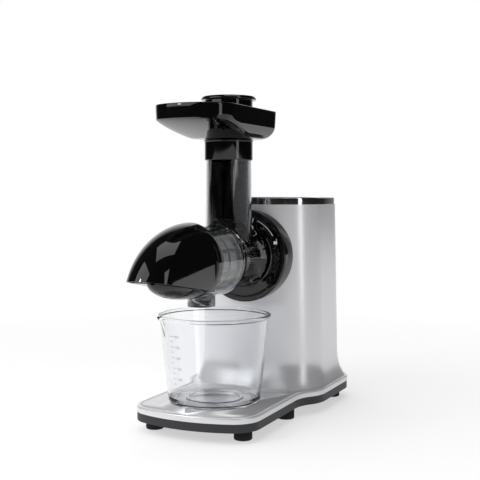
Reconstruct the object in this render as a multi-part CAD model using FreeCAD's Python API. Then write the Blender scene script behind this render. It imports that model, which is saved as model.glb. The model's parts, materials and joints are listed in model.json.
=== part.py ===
"""Cold press juicer: a horizontal drum on an upright motor tower, with a low base.

Work axes: X to the right, Y to the back (the nose points to -Y), Z up.
Sizes are laid out with y = 0 at the front face of the round flange, and
every piece is moved by ORIGIN_SHIFT at the end, so that the part's origin is
at the bottom centre of its box.
"""
import FreeCAD, Part
import math
import os

V = FreeCAD.Vector

# driving dimensions, mm
RUN_GAP = 0.05            # radial clearance of a shaft in its bearing
FIT_GAP = 0.35            # radial clearance of a part that is lifted or turned by hand
REST_GAP = 0.3            # gap under a loose part that rests on another
WALL = 2.5                # moulded wall of the covers
SCREW_RADIUS = 1.6
SCREW_HEAD_RADIUS = 3.4
SCREW_HEAD_HEIGHT = 2.4
SCREW_BITE = 0.05         # how much wider a threaded hole is than its screw
SCREW_PLAY = 0.2          # how much wider a plain hole is than its screw
CUT = 1.0                 # how far a cutting form runs past a face

FOOT_HEIGHT = 13.0
FOOT_RADIUS = 10.5
PAN_HEIGHT = 10.0
PAN_INSET = 0.6
PLATE_HEIGHT = 7.0
BASE_FRONT_Y = -160.0
BASE_BACK_Y = 164.0
BASE_BOW_RADIUS = 165.0
BASE_CORNER_RADIUS = 34.0
BASE_BACK_RADIUS = 42.0
BASE_FRONT_HALF = 77.5
BASE_REAR_HALF = 96.0
BASE_WAIST_Y = -12.0
BASE_SWAY_RADIUS = 44.0    # of the two arcs from the narrow front to the wide rear
FRONT_FOOT_INSET = 20.5
FRONT_FOOT_BACK = 39.0
WAIST_FOOT_INSET = 13.5
REAR_FOOT_INSET = 22.0
REAR_FOOT_FORWARD = 36.0
BASE_SCREW_INSET = 17.5
FRONT_SCREW_BACK = 64.0
WAIST_SCREW_AHEAD = 28.0
BASE_BOSS_RADIUS = 6.0
SCREW_SINK = 4.0          # how deep the heads sit in the pan
PLATE_CROWN = 2.2
GROOVE_INSET = 5.0
GROOVE_WIDTH = 1.6
GROOVE_DEPTH = 1.0

TOWER_TOP = 261.0
TOWER_TOP_HALF = 80.0
TOWER_LOW_HALF = 84.0
TOWER_FOOT_HALF = 92.0
TOWER_FRONT_Y = 14.0
TOWER_FOOT_Y = 2.0
TOWER_BACK_Y = 146.0
TOWER_FOOT_BACK_Y = 156.0
TOWER_BOW_RADIUS = 165.0
TOWER_FRONT_RADIUS = 46.0
TOWER_BACK_RADIUS = 30.0
FLARE_HEIGHT = 38.0
TOWER_SCREW_INSET = 18.0
TOWER_SCREW_AHEAD = 84.0
TOWER_BACK_SCREW_INSET = 26.0
TOWER_BACK_SCREW_AHEAD = 14.0
TOWER_BOSS_RADIUS = 5.0
TOWER_BOSS_HEIGHT = 16.0
TOWER_WEB_HEIGHT = 14.0
TOWER_WEB_REACH = 26.0
TOWER_BACK_WEB_REACH = 24.0
TOWER_WEB_HALF = 1.2
TRIM_HEIGHT = 8.7
TRIM_INSET = 0.8
TRIM_WIDTH = 4.2
DECK_DROP = 3.0
DECK_THICKNESS = 4.0

BUTTON_Y = 64.0
BUTTON_PITCH = 30.0
POWER_RADIUS = 11.0
SIDE_BUTTON_RADIUS = 8.5
BUTTON_PROUD = 1.4
BUTTON_TRAVEL = 1.0
BOARD_LENGTH = 96.0
BOARD_WIDTH = 36.0
BOARD_DROP = 18.0

AXIS_Z = 197.0
FLANGE_RADIUS = 58.5
FLANGE_DEPTH = 36.0
SOCKET_DEPTH = 20.0
HUB_WALL = 6.5
FLANGE_ROUND = 3.0
FLANGE_RIM = 6.0
FLANGE_RECESS = 1.2
FLANGE_SCREW_CIRCLE = 47.0
DRIVE_RADIUS = 12.0
HEX_FLATS = 10.0
SHAFT_RADIUS = 7.0

NECK_RADIUS = 34.0
NECK_BACK_Y = 18.0
JACKET_BACK_Y = -76.4
JACKET_BACK_RADIUS = 41.8
JACKET_FRONT_Y = -136.8
JACKET_FRONT_RADIUS = 39.3
DRUM_WALL = 2.5
TUBE_Y = -39.7
TUBE_RADIUS = 27.5
TUBE_WALL = 2.2
TUBE_TOP = 335.0
NOZZLE_Y = -112.0
NOZZLE_RADIUS = 16.2
NOZZLE_WALL = 2.2
NOZZLE_BOTTOM = 146.0
SEAL_RADIUS = 9.0
AUGER_NECK_RADIUS = 6.0
STOP_RADIUS = 38.0        # the drum's stop ring and its bayonet lugs, against the flange
STOP_FRONT_Y = -14.0
STOP_BACK_Y = -6.0
LUG_RADIUS = 5.0
AUGER_RADIUS = 30.6
AUGER_PITCH = 40.0
AUGER_CORE_FRONT = 17.0
AUGER_CORE_BACK = 10.0
AUGER_BACK_Y = 2.0
FLIGHT_ROOT_HALF = 2.6
FLIGHT_TIP_HALF = 1.4
STRAINER_RADIUS = 33.4
STRAINER_WALL = 1.6
STRAINER_SLOTS = 20

NOSE_LENGTH = 109.7       # from the drum's front edge to the tip of the lip
HOOD_HALF_WIDTH = 52.8
HOOD_HEIGHT = 84.7
HOOD_CENTRE_DROP = 38.7
CHEEK_TIP_HALF = 25.1
CHEEK_TIP_HEIGHT = 93.6
CHEEK_TIP_DROP = 40.8
CHEEK_WIDTH_POWER = 0.565
CHEEK_HEIGHT_POWER = 0.436
CHEEK_OVERRUN = 6.0
LIP_SLOPE = 0.18
LIP_TIP_DROP = 11.4
BOWL_LENGTH = 85.0
BOWL_HALF_WIDTH = 29.0
BOWL_DEPTH = 25.0
BOWL_CENTRE_DROP = 14.65
BAND_LENGTH = 9.0         # the plain black band between the hood and the clear drum
CAP_WALL = 2.2
SPIGOT_LENGTH = 8.0
PIN_RADIUS = 5.0
PIN_LENGTH = 8.0
HUB_LENGTH = 4.0
SPOKE_WIDTH = 5.0
BUSH_WALL = 2.5
CAP_TRAVEL_ROOM = 0.4

COLLAR_WALL = 1.25
COLLAR_BOTTOM = 315.0
COLLAR_BEAD = 0.8
TRAY_NECK_Z = 338.0
TRAY_FLOOR_Z = 340.0
TRAY_RIM_Z = 374.5
TRAY_STRAIGHT = 16.5      # upright part of the tray's wall, below its rim
TRAY_UNDER_ROUND = 13.0   # how far the sides and back draw in under the tray
TRAY_FRONT_RISE = 75.0    # how far the front's underside slopes back
TRAY_RISE_POWER = 1.3
TRAY_HALF = 48.0
TRAY_FRONT_Y = -158.0
TRAY_BACK_Y = 3.0
TRAY_WALL = 2.4
TRAY_FRONT_RADIUS = 30.0
TRAY_BACK_RADIUS = 12.0
TRAY_BOW_RADIUS = 70.0

PUSHER_PLAY = 1.3         # radial play of the pusher in the feed tube
PUSHER_BOTTOM = 243.0
PUSHER_FLOOR = 3.0
PUSHER_LEDGE = 3.7        # how far the head reaches past the tube's bore
PUSHER_RIM_LEDGE = 4.2
PUSHER_SEAT_CHAMFER = 2.0
PUSHER_RIM_Z = 387.0
PUSHER_TOP = 391.0
PUSHER_WALL = 2.4

JUG_Y = -78.5
JUG_FOOT_RADIUS = 54.3
JUG_RIM_RADIUS = 65.0
JUG_RIM_Z = 133.5
JUG_WALL = 2.2
JUG_BEAD = 1.6
JUG_FLOOR = 3.0
JUG_STEP_RADIUS = 33.0
SPOUT_ANGLE = 236.0
SPOUT_RADIUS = 13.0
SPOUT_HEIGHT = 30.0

PINION_TEETH = 12
WHEEL_TEETH = 60
SLOW_MODULE = 1.25
FAST_MODULE = 0.9
SLOW_WIDTH = 12.0
FAST_WIDTH = 8.0
SLOW_Y = 44.0
FAST_Y = 61.0
COUNTER_RADIUS = 4.0
MOTOR_SHAFT_RADIUS = 2.5
GEARBOX_HALF = 46.0
GEARBOX_FRONT_Y = 34.0
GEARBOX_BACK_Y = 76.0
GEARBOX_WALL = 3.0
GEARBOX_SCREW_INSET = 9.0
GEARBOX_CORNER = 10.0
GEARBOX_TUBE_RADIUS = 4.5
GEARBOX_TUBE_LENGTH = 22.0
DRIVE_BOSS_RADIUS = 15.0
COUNTER_BUSH_RADIUS = 7.0
COUNTER_BOSS_RADIUS = 9.0
MOTOR_BUSH_RADIUS = 6.0
MOTOR_CAN_WALL = 2.0
MAGNET_THICKNESS = 5.5
ROTOR_GAP = 1.5
ROTOR_SLOTS = 8
ROTOR_INSET = 8.0
FAN_BLADES = 7
FAN_HUB_RADIUS = 8.0
FAN_WIDTH = 6.0
BRACKET_HALF = 38.0
BRACKET_SHEET = 2.5
MOTOR_RADIUS = 34.0
MOTOR_LENGTH = 52.0
FAN_RADIUS = 26.0

REAR_COVER_WIDTH = 112.0
REAR_COVER_BOTTOM = 80.0
REAR_COVER_TOP = 232.0
VENT_COUNT = 9
VENT_PITCH = 8.0
VENT_LENGTH = 64.0
VENT_WIDTH = 3.2
INLET_RADIUS = 7.0
INLET_BORE = 3.6

# places worked out from the sizes above
PAN_BOTTOM = FOOT_HEIGHT
PLATE_BOTTOM = PAN_BOTTOM + PAN_HEIGHT
DECK_FLOOR = PLATE_BOTTOM + PLATE_HEIGHT
TRIM_TOP = TOWER_TOP + TRIM_HEIGHT
DECK_TOP = TRIM_TOP - DECK_DROP
DECK_BOTTOM = DECK_TOP - DECK_THICKNESS
FLARE_TOP = DECK_FLOOR + FLARE_HEIGHT
SLOW_CENTRES = SLOW_MODULE * (PINION_TEETH + WHEEL_TEETH) / 2
FAST_CENTRES = FAST_MODULE * (PINION_TEETH + WHEEL_TEETH) / 2
COUNTER_Z = AXIS_Z - SLOW_CENTRES
MOTOR_Z = COUNTER_Z - FAST_CENTRES
GEARBOX_BOTTOM = MOTOR_Z - 20.0
GEARBOX_TOP = AXIS_Z + 46.0
BORE_RADIUS = NECK_RADIUS - DRUM_WALL
TUBE_BORE = TUBE_RADIUS - TUBE_WALL
COLLAR_RADIUS = TUBE_RADIUS + FIT_GAP + COLLAR_WALL
PUSHER_RADIUS = TUBE_BORE - PUSHER_PLAY
PUSHER_HEAD_RADIUS = TUBE_BORE + PUSHER_LEDGE
PUSHER_RIM_RADIUS = PUSHER_HEAD_RADIUS + PUSHER_RIM_LEDGE
ROTOR_RADIUS = MOTOR_RADIUS - MOTOR_CAN_WALL - MAGNET_THICKNESS - ROTOR_GAP
LIP_TIP_Z = AXIS_Z - LIP_TIP_DROP
BOARD_TOP = DECK_TOP - BOARD_DROP
NOSE_FRONT_Y = JACKET_FRONT_Y - NOSE_LENGTH
HOOD_CENTRE_Z = AXIS_Z - HOOD_CENTRE_DROP
HOOD_LENGTH = NOSE_LENGTH / math.sqrt(1 - ((LIP_TIP_Z - HOOD_CENTRE_Z) / HOOD_HEIGHT) ** 2)
CHEEK_LENGTH = NOSE_LENGTH + CHEEK_OVERRUN
ORIGIN_SHIFT = V(0, -(NOSE_FRONT_Y + BASE_BACK_Y) / 2, 0)


# helpers
def disc(radius, y0, y1, x=0.0, z=AXIS_Z):
    """A cylinder along Y between two planes."""
    return Part.makeCylinder(radius, y1 - y0, V(x, y0, z), V(0, 1, 0))


def post(radius, z0, z1, x=0.0, y=0.0):
    """An upright cylinder between two heights."""
    return Part.makeCylinder(radius, z1 - z0, V(x, y, z0))


def block(x0, x1, y0, y1, z0, z1):
    return Part.makeBox(x1 - x0, y1 - y0, z1 - z0, V(x0, y0, z0))


def revolve_y(points, z=AXIS_Z):
    """Turn an outline of (radius, y) points about the drum axis."""
    corners = [V(r, y, z) for r, y in points]
    face = Part.Face(Part.makePolygon(corners + [corners[0]]))
    return face.revolve(V(0, 0, z), V(0, 1, 0), 360)


def revolve_z(points, x=0.0, y=0.0):
    """Turn an outline of (radius, z) points about an upright axis."""
    corners = [V(x + r, y, z) for r, z in points]
    face = Part.Face(Part.makePolygon(corners + [corners[0]]))
    return face.revolve(V(x, y, 0), V(0, 0, 1), 360)


def arc_through(a, b, c):
    return Part.Arc(a, b, c).toShape()


def bowed_outline(z, half, front, back, bow, front_radius, back_radius):
    """A plan outline with a bowed front, round corners and a straight back."""
    bow_centre = front + bow
    reach = half - front_radius
    corner_y = bow_centre - math.sqrt((bow - front_radius) ** 2 - reach ** 2)
    lean = math.atan2(reach, bow_centre - corner_y)
    touch = V(bow * math.sin(lean), bow_centre - bow * math.cos(lean), z)
    mid_turn = (lean + math.pi / 2) / 2
    mid = V(reach + front_radius * math.sin(mid_turn), corner_y - front_radius * math.cos(mid_turn), z)
    side_low = V(half, corner_y, z)
    side_high = V(half, back - back_radius, z)
    back_mid = V(half - back_radius + back_radius * math.cos(math.pi / 4),
                 back - back_radius + back_radius * math.sin(math.pi / 4), z)
    back_end = V(half - back_radius, back, z)

    def flip(p):
        return V(-p.x, p.y, p.z)

    edges = [
        arc_through(flip(touch), V(0, front, z), touch),
        arc_through(touch, mid, side_low),
        Part.LineSegment(side_low, side_high).toShape(),
        arc_through(side_high, back_mid, back_end),
        Part.LineSegment(back_end, flip(back_end)).toShape(),
        arc_through(flip(back_end), flip(back_mid), flip(side_high)),
        Part.LineSegment(flip(side_high), flip(side_low)).toShape(),
        arc_through(flip(side_low), flip(mid), flip(touch)),
    ]
    return Part.Wire(edges)


def tower_outline(z, inset):
    """The tower's plan at one height, tapered above and flared at the foot."""
    flare = max(0.0, (FLARE_TOP - z) / FLARE_HEIGHT) ** 2.4
    rise = max(0.0, (z - FLARE_TOP) / (TOWER_TOP - FLARE_TOP))
    half = TOWER_LOW_HALF + (TOWER_FOOT_HALF - TOWER_LOW_HALF) * flare
    half -= (TOWER_LOW_HALF - TOWER_TOP_HALF) * rise
    front = TOWER_FRONT_Y + (TOWER_FOOT_Y - TOWER_FRONT_Y) * flare
    back = TOWER_BACK_Y + (TOWER_FOOT_BACK_Y - TOWER_BACK_Y) * flare
    return bowed_outline(z, half - inset, front + inset, back - inset, TOWER_BOW_RADIUS - inset,
                         TOWER_FRONT_RADIUS - inset, TOWER_BACK_RADIUS - inset)


def tower_solid(inset, floor, top):
    """The tower's outer form, drawn in by an inset."""
    steps = [floor + (FLARE_TOP - floor) * i / 5 for i in range(6)]
    foot = Part.makeLoft([tower_outline(z, inset) for z in steps], True, False)
    upper = Part.makeLoft([tower_outline(z, inset) for z in (FLARE_TOP, top)], True, True)
    return foot.fuse(upper)


def base_outline(z, inset):
    """The base's plan: bowed front, narrow deck, S-curves out to the wide rear."""
    front_half = BASE_FRONT_HALF - inset
    rear_half = BASE_REAR_HALF - inset
    bow = BASE_BOW_RADIUS - inset
    corner = BASE_CORNER_RADIUS - inset
    front = BASE_FRONT_Y + inset
    back = BASE_BACK_Y - inset
    step = (rear_half - front_half) / 2
    curve = BASE_SWAY_RADIUS
    run = math.sqrt(curve ** 2 - (curve - step) ** 2)
    turn = math.asin(run / curve) / 2
    plain = bowed_outline(z, front_half, front, back, bow, corner, corner)
    front_arc, corner_arc = plain.Edges[0], plain.Edges[1]
    start = V(front_half, BASE_WAIST_Y, z)
    middle = V(front_half + step, BASE_WAIST_Y + run, z)
    end = V(rear_half, BASE_WAIST_Y + 2 * run, z)
    out_mid = V(front_half + curve - curve * math.cos(turn), BASE_WAIST_Y + curve * math.sin(turn), z)
    in_mid = V(rear_half - curve + curve * math.cos(turn), end.y - curve * math.sin(turn), z)
    back_radius = BASE_BACK_RADIUS - inset
    side_high = V(rear_half, back - back_radius, z)
    diagonal = back_radius * math.sqrt(0.5)
    back_mid = V(rear_half - back_radius + diagonal, back - back_radius + diagonal, z)
    back_end = V(rear_half - back_radius, back, z)
    side_low = V(front_half, corner_arc.BoundBox.YMax, z)
    right = [
        corner_arc,
        Part.LineSegment(side_low, start).toShape(),
        arc_through(start, out_mid, middle),
        arc_through(middle, in_mid, end),
        Part.LineSegment(end, side_high).toShape(),
        arc_through(side_high, back_mid, back_end),
    ]
    mirror = [edge.mirror(V(0, 0, 0), V(1, 0, 0)) for edge in right]
    rear_line = Part.LineSegment(back_end, V(-back_end.x, back_end.y, z)).toShape()
    return Part.Wire(Part.__sortEdges__([front_arc, rear_line] + right + mirror))


def base_slab(z0, z1, inset):
    return Part.Face(base_outline(z0, inset)).extrude(V(0, 0, z1 - z0))


def ring_y(outer, inner, y0, y1, x=0.0, z=AXIS_Z):
    return disc(outer, y0, y1, x, z).cut(disc(inner, y0 - 1, y1 + 1, x, z))


def hexagon(flats, y0, y1):
    corner = flats / math.sqrt(3)
    points = [V(corner * math.cos(math.radians(60 * i)), y0, AXIS_Z + corner * math.sin(math.radians(60 * i)))
              for i in range(7)]
    return Part.Face(Part.makePolygon(points)).extrude(V(0, y1 - y0, 0))


def screw_y(x, z, y_tip, y_head, head_side):
    """A round-head screw along Y; head_side is +1 where its head is at the back."""
    shank = disc(SCREW_RADIUS, min(y_tip, y_head), max(y_tip, y_head), x, z)
    head_end = y_head + head_side * SCREW_HEAD_HEIGHT
    return shank.fuse(disc(SCREW_HEAD_RADIUS, min(y_head, head_end), max(y_head, head_end), x, z))


def gear(module, teeth, width, y, z, phase, bore):
    """A spur gear whose flanks are involutes at 20 degrees, with backlash."""
    pitch = module * teeth / 2
    base = pitch * math.cos(math.radians(20))
    tip = pitch + module * 0.95
    root = pitch - module * 1.2
    inv = math.tan(math.radians(20)) - math.radians(20)
    half_tooth = math.pi / (2 * teeth) + inv - 0.11 * module / pitch
    start = max(base, root)
    points = []
    for i in range(teeth):
        centre = phase + 2 * math.pi * i / teeth
        flank = []
        for k in range(6):
            r = start + (tip - start) * k / 5
            roll = math.acos(min(1.0, base / r))
            flank.append((r, half_tooth - (math.tan(roll) - roll)))
        right = [(root, half_tooth)] + flank if root < base else flank
        points += [(r, centre - a) for r, a in right]
        points += [(r, centre + a) for r, a in reversed(right)]
    corners = [V(r * math.cos(a), y, z + r * math.sin(a)) for r, a in points]
    blank = Part.Face(Part.makePolygon(corners + [corners[0]])).extrude(V(0, width, 0))
    return blank.cut(disc(bore, y - 1, y + width + 1, 0, z))


def ellipsoid(half_width, length, height, centre):
    ball = Part.makeSphere(1.0, V(0, 0, 0), V(1, 0, 0))
    grow = FreeCAD.Matrix()
    grow.scale(V(half_width, length, height))
    ball = ball.transformGeometry(grow)
    ball.translate(centre)
    return ball


# base
def mirrored(*places):
    """Each place and its twin on the left."""
    return [(side * x, y) for x, y in places for side in (-1, 1)]


def foot_places():
    return mirrored((BASE_FRONT_HALF - FRONT_FOOT_INSET, BASE_FRONT_Y + FRONT_FOOT_BACK),
                    (BASE_FRONT_HALF - WAIST_FOOT_INSET, BASE_WAIST_Y),
                    (BASE_REAR_HALF - REAR_FOOT_INSET, BASE_BACK_Y - REAR_FOOT_FORWARD))


def base_screw_places():
    x = BASE_FRONT_HALF - BASE_SCREW_INSET
    return mirrored((x, BASE_FRONT_Y + FRONT_SCREW_BACK), (x, BASE_WAIST_Y - WAIST_SCREW_AHEAD))


def tower_screw_places():
    return mirrored((TOWER_LOW_HALF - TOWER_SCREW_INSET, TOWER_BACK_Y - TOWER_SCREW_AHEAD),
                    (TOWER_LOW_HALF - TOWER_BACK_SCREW_INSET, TOWER_BACK_Y - TOWER_BACK_SCREW_AHEAD))


def make_feet():
    feet = []
    for x, y in foot_places():
        foot = post(FOOT_RADIUS, 0, FOOT_HEIGHT, x, y)
        rim = [e for e in foot.Edges if abs(e.BoundBox.ZMax) < 0.01 and e.BoundBox.ZLength < 0.01]
        feet.append(foot.makeFillet(1.5, rim))
    return Part.makeCompound(feet)


def make_base_pan():
    pan = base_slab(PAN_BOTTOM, PLATE_BOTTOM, PAN_INSET)
    hollow = base_slab(PAN_BOTTOM + WALL, PLATE_BOTTOM, PAN_INSET + WALL)
    for x, y in base_screw_places() + tower_screw_places():
        hollow = hollow.cut(post(BASE_BOSS_RADIUS, PAN_BOTTOM, PLATE_BOTTOM, x, y))
    pan = pan.cut(hollow)
    for x, y in base_screw_places() + tower_screw_places():
        pan = pan.cut(post(SCREW_RADIUS + SCREW_PLAY, PAN_BOTTOM - CUT, PLATE_BOTTOM + CUT, x, y))
        pan = pan.cut(post(SCREW_HEAD_RADIUS + 2 * SCREW_PLAY, PAN_BOTTOM - CUT, PAN_BOTTOM + SCREW_SINK,
                           x, y))
    return pan


def make_base_plate():
    plate = base_slab(PLATE_BOTTOM, DECK_FLOOR, 0.0)
    crown = [e for e in plate.Edges if e.BoundBox.ZMin > DECK_FLOOR - 0.01]
    plate = plate.makeFillet(PLATE_CROWN, crown)
    hollow = base_slab(PLATE_BOTTOM, DECK_FLOOR - WALL, WALL + 0.5)
    for x, y in base_screw_places() + tower_screw_places():
        hollow = hollow.cut(post(BASE_BOSS_RADIUS, PLATE_BOTTOM, DECK_FLOOR, x, y))
    groove = base_slab(DECK_FLOOR - GROOVE_DEPTH, DECK_FLOOR + 1, GROOVE_INSET)
    groove = groove.cut(base_slab(DECK_FLOOR - GROOVE_DEPTH, DECK_FLOOR + 1, GROOVE_INSET + GROOVE_WIDTH))
    plate = plate.cut(hollow).cut(groove)
    for x, y in base_screw_places():
        plate = plate.cut(post(SCREW_RADIUS + SCREW_BITE, PLATE_BOTTOM - 1, DECK_FLOOR - WALL, x, y))
    for x, y in tower_screw_places():
        plate = plate.cut(post(SCREW_RADIUS + SCREW_PLAY, PLATE_BOTTOM - 1, DECK_FLOOR + 1, x, y))
    return plate


def make_base_screws():
    head_z = PAN_BOTTOM + SCREW_SINK
    screws = []
    for x, y in base_screw_places():
        screws.append(post(SCREW_RADIUS, head_z, DECK_FLOOR - WALL - 0.5, x, y)
                      .fuse(post(SCREW_HEAD_RADIUS, head_z - SCREW_HEAD_HEIGHT, head_z, x, y)))
    for x, y in tower_screw_places():
        screws.append(post(SCREW_RADIUS, head_z, DECK_FLOOR + 12, x, y)
                      .fuse(post(SCREW_HEAD_RADIUS, head_z - SCREW_HEAD_HEIGHT, head_z, x, y)))
    return Part.makeCompound(screws)


# tower
def rear_screw_places():
    half = REAR_COVER_WIDTH / 2 - 7
    low, high = REAR_COVER_BOTTOM + 7, REAR_COVER_TOP - 7
    return [(-half, low), (half, low), (-half, high), (half, high)]


def flange_screw_places():
    reach = FLANGE_SCREW_CIRCLE * math.sqrt(0.5)
    return [(sx * reach, AXIS_Z + sz * reach) for sx in (-1, 1) for sz in (-1, 1)]


def make_tower_shell():
    shell = tower_solid(0.0, DECK_FLOOR, TOWER_TOP)
    hollow = tower_solid(WALL, DECK_FLOOR, TOWER_TOP)
    shell = shell.cut(hollow)
    inner_back = TOWER_BACK_Y - WALL
    for x, y in tower_screw_places():
        boss = post(TOWER_BOSS_RADIUS, DECK_FLOOR, DECK_FLOOR + TOWER_BOSS_HEIGHT, x, y)
        at_back = y > TOWER_BACK_Y - TOWER_SCREW_AHEAD
        web_y = y + (TOWER_BACK_WEB_REACH if at_back else 0)
        web_x = x + math.copysign(0 if at_back else TOWER_WEB_REACH, x)
        web = block(min(x, web_x) - TOWER_WEB_HALF, max(x, web_x) + TOWER_WEB_HALF, y - TOWER_WEB_HALF,
                    max(y, web_y) + TOWER_WEB_HALF, DECK_FLOOR, DECK_FLOOR + TOWER_WEB_HEIGHT)
        joined = boss.fuse(web).common(tower_solid(WALL / 2, DECK_FLOOR, TOWER_TOP))
        shell = shell.fuse(joined)
        shell = shell.cut(post(SCREW_RADIUS + SCREW_BITE, DECK_FLOOR - 1, DECK_FLOOR + 13, x, y))
    shell = shell.cut(disc(NECK_RADIUS + HUB_WALL + 0.5, 0, 40))
    for x, z in flange_screw_places():
        shell = shell.cut(disc(SCREW_RADIUS + 0.1, 0, 60, x, z))
    window_half = REAR_COVER_WIDTH / 2 - 14
    shell = shell.cut(block(-window_half, window_half, inner_back - 5, TOWER_BACK_Y + 5,
                            REAR_COVER_BOTTOM + 3, REAR_COVER_TOP - 14))
    for x, z in rear_screw_places():
        boss = disc(4.5, inner_back - 7, inner_back + 0.5, x, z)
        shell = shell.fuse(boss).cut(disc(SCREW_RADIUS + SCREW_BITE, inner_back - 6, TOWER_BACK_Y + 1, x, z))
    return shell


def make_flange():
    body = disc(FLANGE_RADIUS, 0, FLANGE_DEPTH)
    front_rim = [e for e in body.Edges if e.BoundBox.YMax < 0.01]
    body = body.makeFillet(FLANGE_ROUND, front_rim)
    body = body.cut(tower_solid(0.0, DECK_FLOOR, TOWER_TOP))
    hub = disc(NECK_RADIUS + HUB_WALL, 2, SOCKET_DEPTH + 3)
    body = body.fuse(hub)
    body = body.cut(disc(NECK_RADIUS + FIT_GAP, -1, SOCKET_DEPTH))
    body = body.cut(disc(DRIVE_RADIUS + 2.5, SOCKET_DEPTH - 1, SOCKET_DEPTH + 4))
    face_recess = ring_y(FLANGE_RADIUS - FLANGE_RIM, NECK_RADIUS + 5, -CUT, FLANGE_RECESS)
    body = body.cut(face_recess)
    for x, z in flange_screw_places():
        body = body.cut(disc(SCREW_RADIUS + SCREW_BITE, 7, 40, x, z))
    return body


def flange_screw_seat(x):
    """Where the tower's inner front wall lies at a distance from the middle."""
    bow = TOWER_BOW_RADIUS - WALL
    return TOWER_FRONT_Y + WALL + bow - math.sqrt(bow ** 2 - x ** 2)


def make_flange_screws():
    screws = [screw_y(x, z, 8, flange_screw_seat(abs(x) + SCREW_HEAD_RADIUS) + 0.1, 1)
              for x, z in flange_screw_places()]
    return Part.makeCompound(screws)


def make_trim_ring():
    def slab(inset, z0, z1):
        outline = tower_outline(TOWER_TOP, inset)
        face = Part.Face(outline)
        solid = face.extrude(V(0, 0, z1 - z0))
        solid.translate(V(0, 0, z0 - TOWER_TOP))
        return solid

    ring = slab(TRIM_INSET, TOWER_TOP, TRIM_TOP)
    crown = [e for e in ring.Edges if e.BoundBox.ZMin > TRIM_TOP - 0.01]
    ring = ring.makeFillet(1.4, crown)
    ring = ring.cut(slab(TRIM_INSET + TRIM_WIDTH, DECK_BOTTOM, TRIM_TOP + 1))
    return ring.cut(slab(TRIM_INSET + TRIM_WIDTH + 4, TOWER_TOP - 1, DECK_BOTTOM + 1))


def button_sizes():
    return {
        "power_button": (0.0, POWER_RADIUS),
        "reverse_button": (-BUTTON_PITCH, SIDE_BUTTON_RADIUS),
        "speed_button": (BUTTON_PITCH, SIDE_BUTTON_RADIUS),
    }


def board_post_places():
    x, y = BOARD_LENGTH / 2 - 5, BOARD_WIDTH / 2 - 5
    return [(sx * x, BUTTON_Y + sy * y) for sx in (-1, 1) for sy in (-1, 1)]


def make_top_deck():
    outline = tower_outline(TOWER_TOP, TRIM_INSET + TRIM_WIDTH + REST_GAP)
    deck = Part.Face(outline).extrude(V(0, 0, DECK_THICKNESS))
    deck.translate(V(0, 0, DECK_BOTTOM - TOWER_TOP))
    for x, y in board_post_places():
        deck = deck.fuse(post(3.5, BOARD_TOP, DECK_BOTTOM + 0.5, x, y))
        deck = deck.cut(post(SCREW_RADIUS + SCREW_BITE, BOARD_TOP - 1, DECK_BOTTOM - 2, x, y))
    for x, radius in button_sizes().values():
        deck = deck.cut(post(radius + FIT_GAP, DECK_BOTTOM - 1, DECK_TOP + 1, x, BUTTON_Y))
    return deck


def plunger_top():
    return BOARD_TOP + 4.4


def make_button(x, radius):
    """A cap, a flange under the deck that keeps it in, and a stem to its switch."""
    cap_bottom = DECK_BOTTOM - REST_GAP - 2.0
    button = post(radius, cap_bottom, DECK_TOP + BUTTON_PROUD, x, BUTTON_Y)
    crown = [e for e in button.Edges if e.BoundBox.ZMin > DECK_TOP + BUTTON_PROUD - 0.01]
    button = button.makeFillet(0.7, crown)
    button = button.fuse(post(radius + 1.8, cap_bottom, cap_bottom + 2.0, x, BUTTON_Y))
    return button.fuse(post(3.0, plunger_top() + BUTTON_TRAVEL + 0.05, cap_bottom + 0.5, x, BUTTON_Y))


def make_control_board():
    board = block(-BOARD_LENGTH / 2, BOARD_LENGTH / 2, BUTTON_Y - BOARD_WIDTH / 2,
                  BUTTON_Y + BOARD_WIDTH / 2, BOARD_TOP - 1.6, BOARD_TOP)
    for x, y in board_post_places():
        board = board.cut(post(SCREW_RADIUS + SCREW_PLAY, BOARD_TOP - 3, BOARD_TOP + 1, x, y))
    return board


def make_tact_switches():
    switches = []
    for x, _ in button_sizes().values():
        body = block(x - 3, x + 3, BUTTON_Y - 3, BUTTON_Y + 3, BOARD_TOP, BOARD_TOP + 3.4)
        switches.append(body.fuse(post(1.7, BOARD_TOP + 3, plunger_top(), x, BUTTON_Y)))
    return Part.makeCompound(switches)


def make_board_screws():
    low = BOARD_TOP - 1.6
    return Part.makeCompound([
        post(SCREW_RADIUS, low, BOARD_TOP + 8, x, y).fuse(post(SCREW_HEAD_RADIUS - 0.4, low - 2, low, x, y))
        for x, y in board_post_places()])


def make_rear_cover():
    half = REAR_COVER_WIDTH / 2
    cover = block(-half, half, TOWER_BACK_Y, TOWER_BACK_Y + WALL, REAR_COVER_BOTTOM, REAR_COVER_TOP)
    upright = [e for e in cover.Edges if e.BoundBox.YLength > WALL - 0.01]
    cover = cover.makeFillet(6.0, upright)
    top_vent = REAR_COVER_TOP - 34
    for i in range(VENT_COUNT):
        z = top_vent - i * VENT_PITCH
        slot = block(-VENT_LENGTH / 2, VENT_LENGTH / 2, TOWER_BACK_Y - 1, TOWER_BACK_Y + WALL + 1,
                     z - VENT_WIDTH / 2, z + VENT_WIDTH / 2)
        cover = cover.cut(slot)
    for x, z in rear_screw_places():
        cover = cover.cut(disc(SCREW_RADIUS + SCREW_PLAY, TOWER_BACK_Y - 1, TOWER_BACK_Y + WALL + 1, x, z))
    return cover.cut(disc(INLET_RADIUS + 0.1, TOWER_BACK_Y - 1, TOWER_BACK_Y + WALL + 1, 0, inlet_z()))


def inlet_z():
    return REAR_COVER_BOTTOM + 17


def make_rear_screws():
    back = TOWER_BACK_Y + WALL
    tip = TOWER_BACK_Y - WALL - 5
    return Part.makeCompound([screw_y(x, z, tip, back, 1) for x, z in rear_screw_places()])


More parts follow.
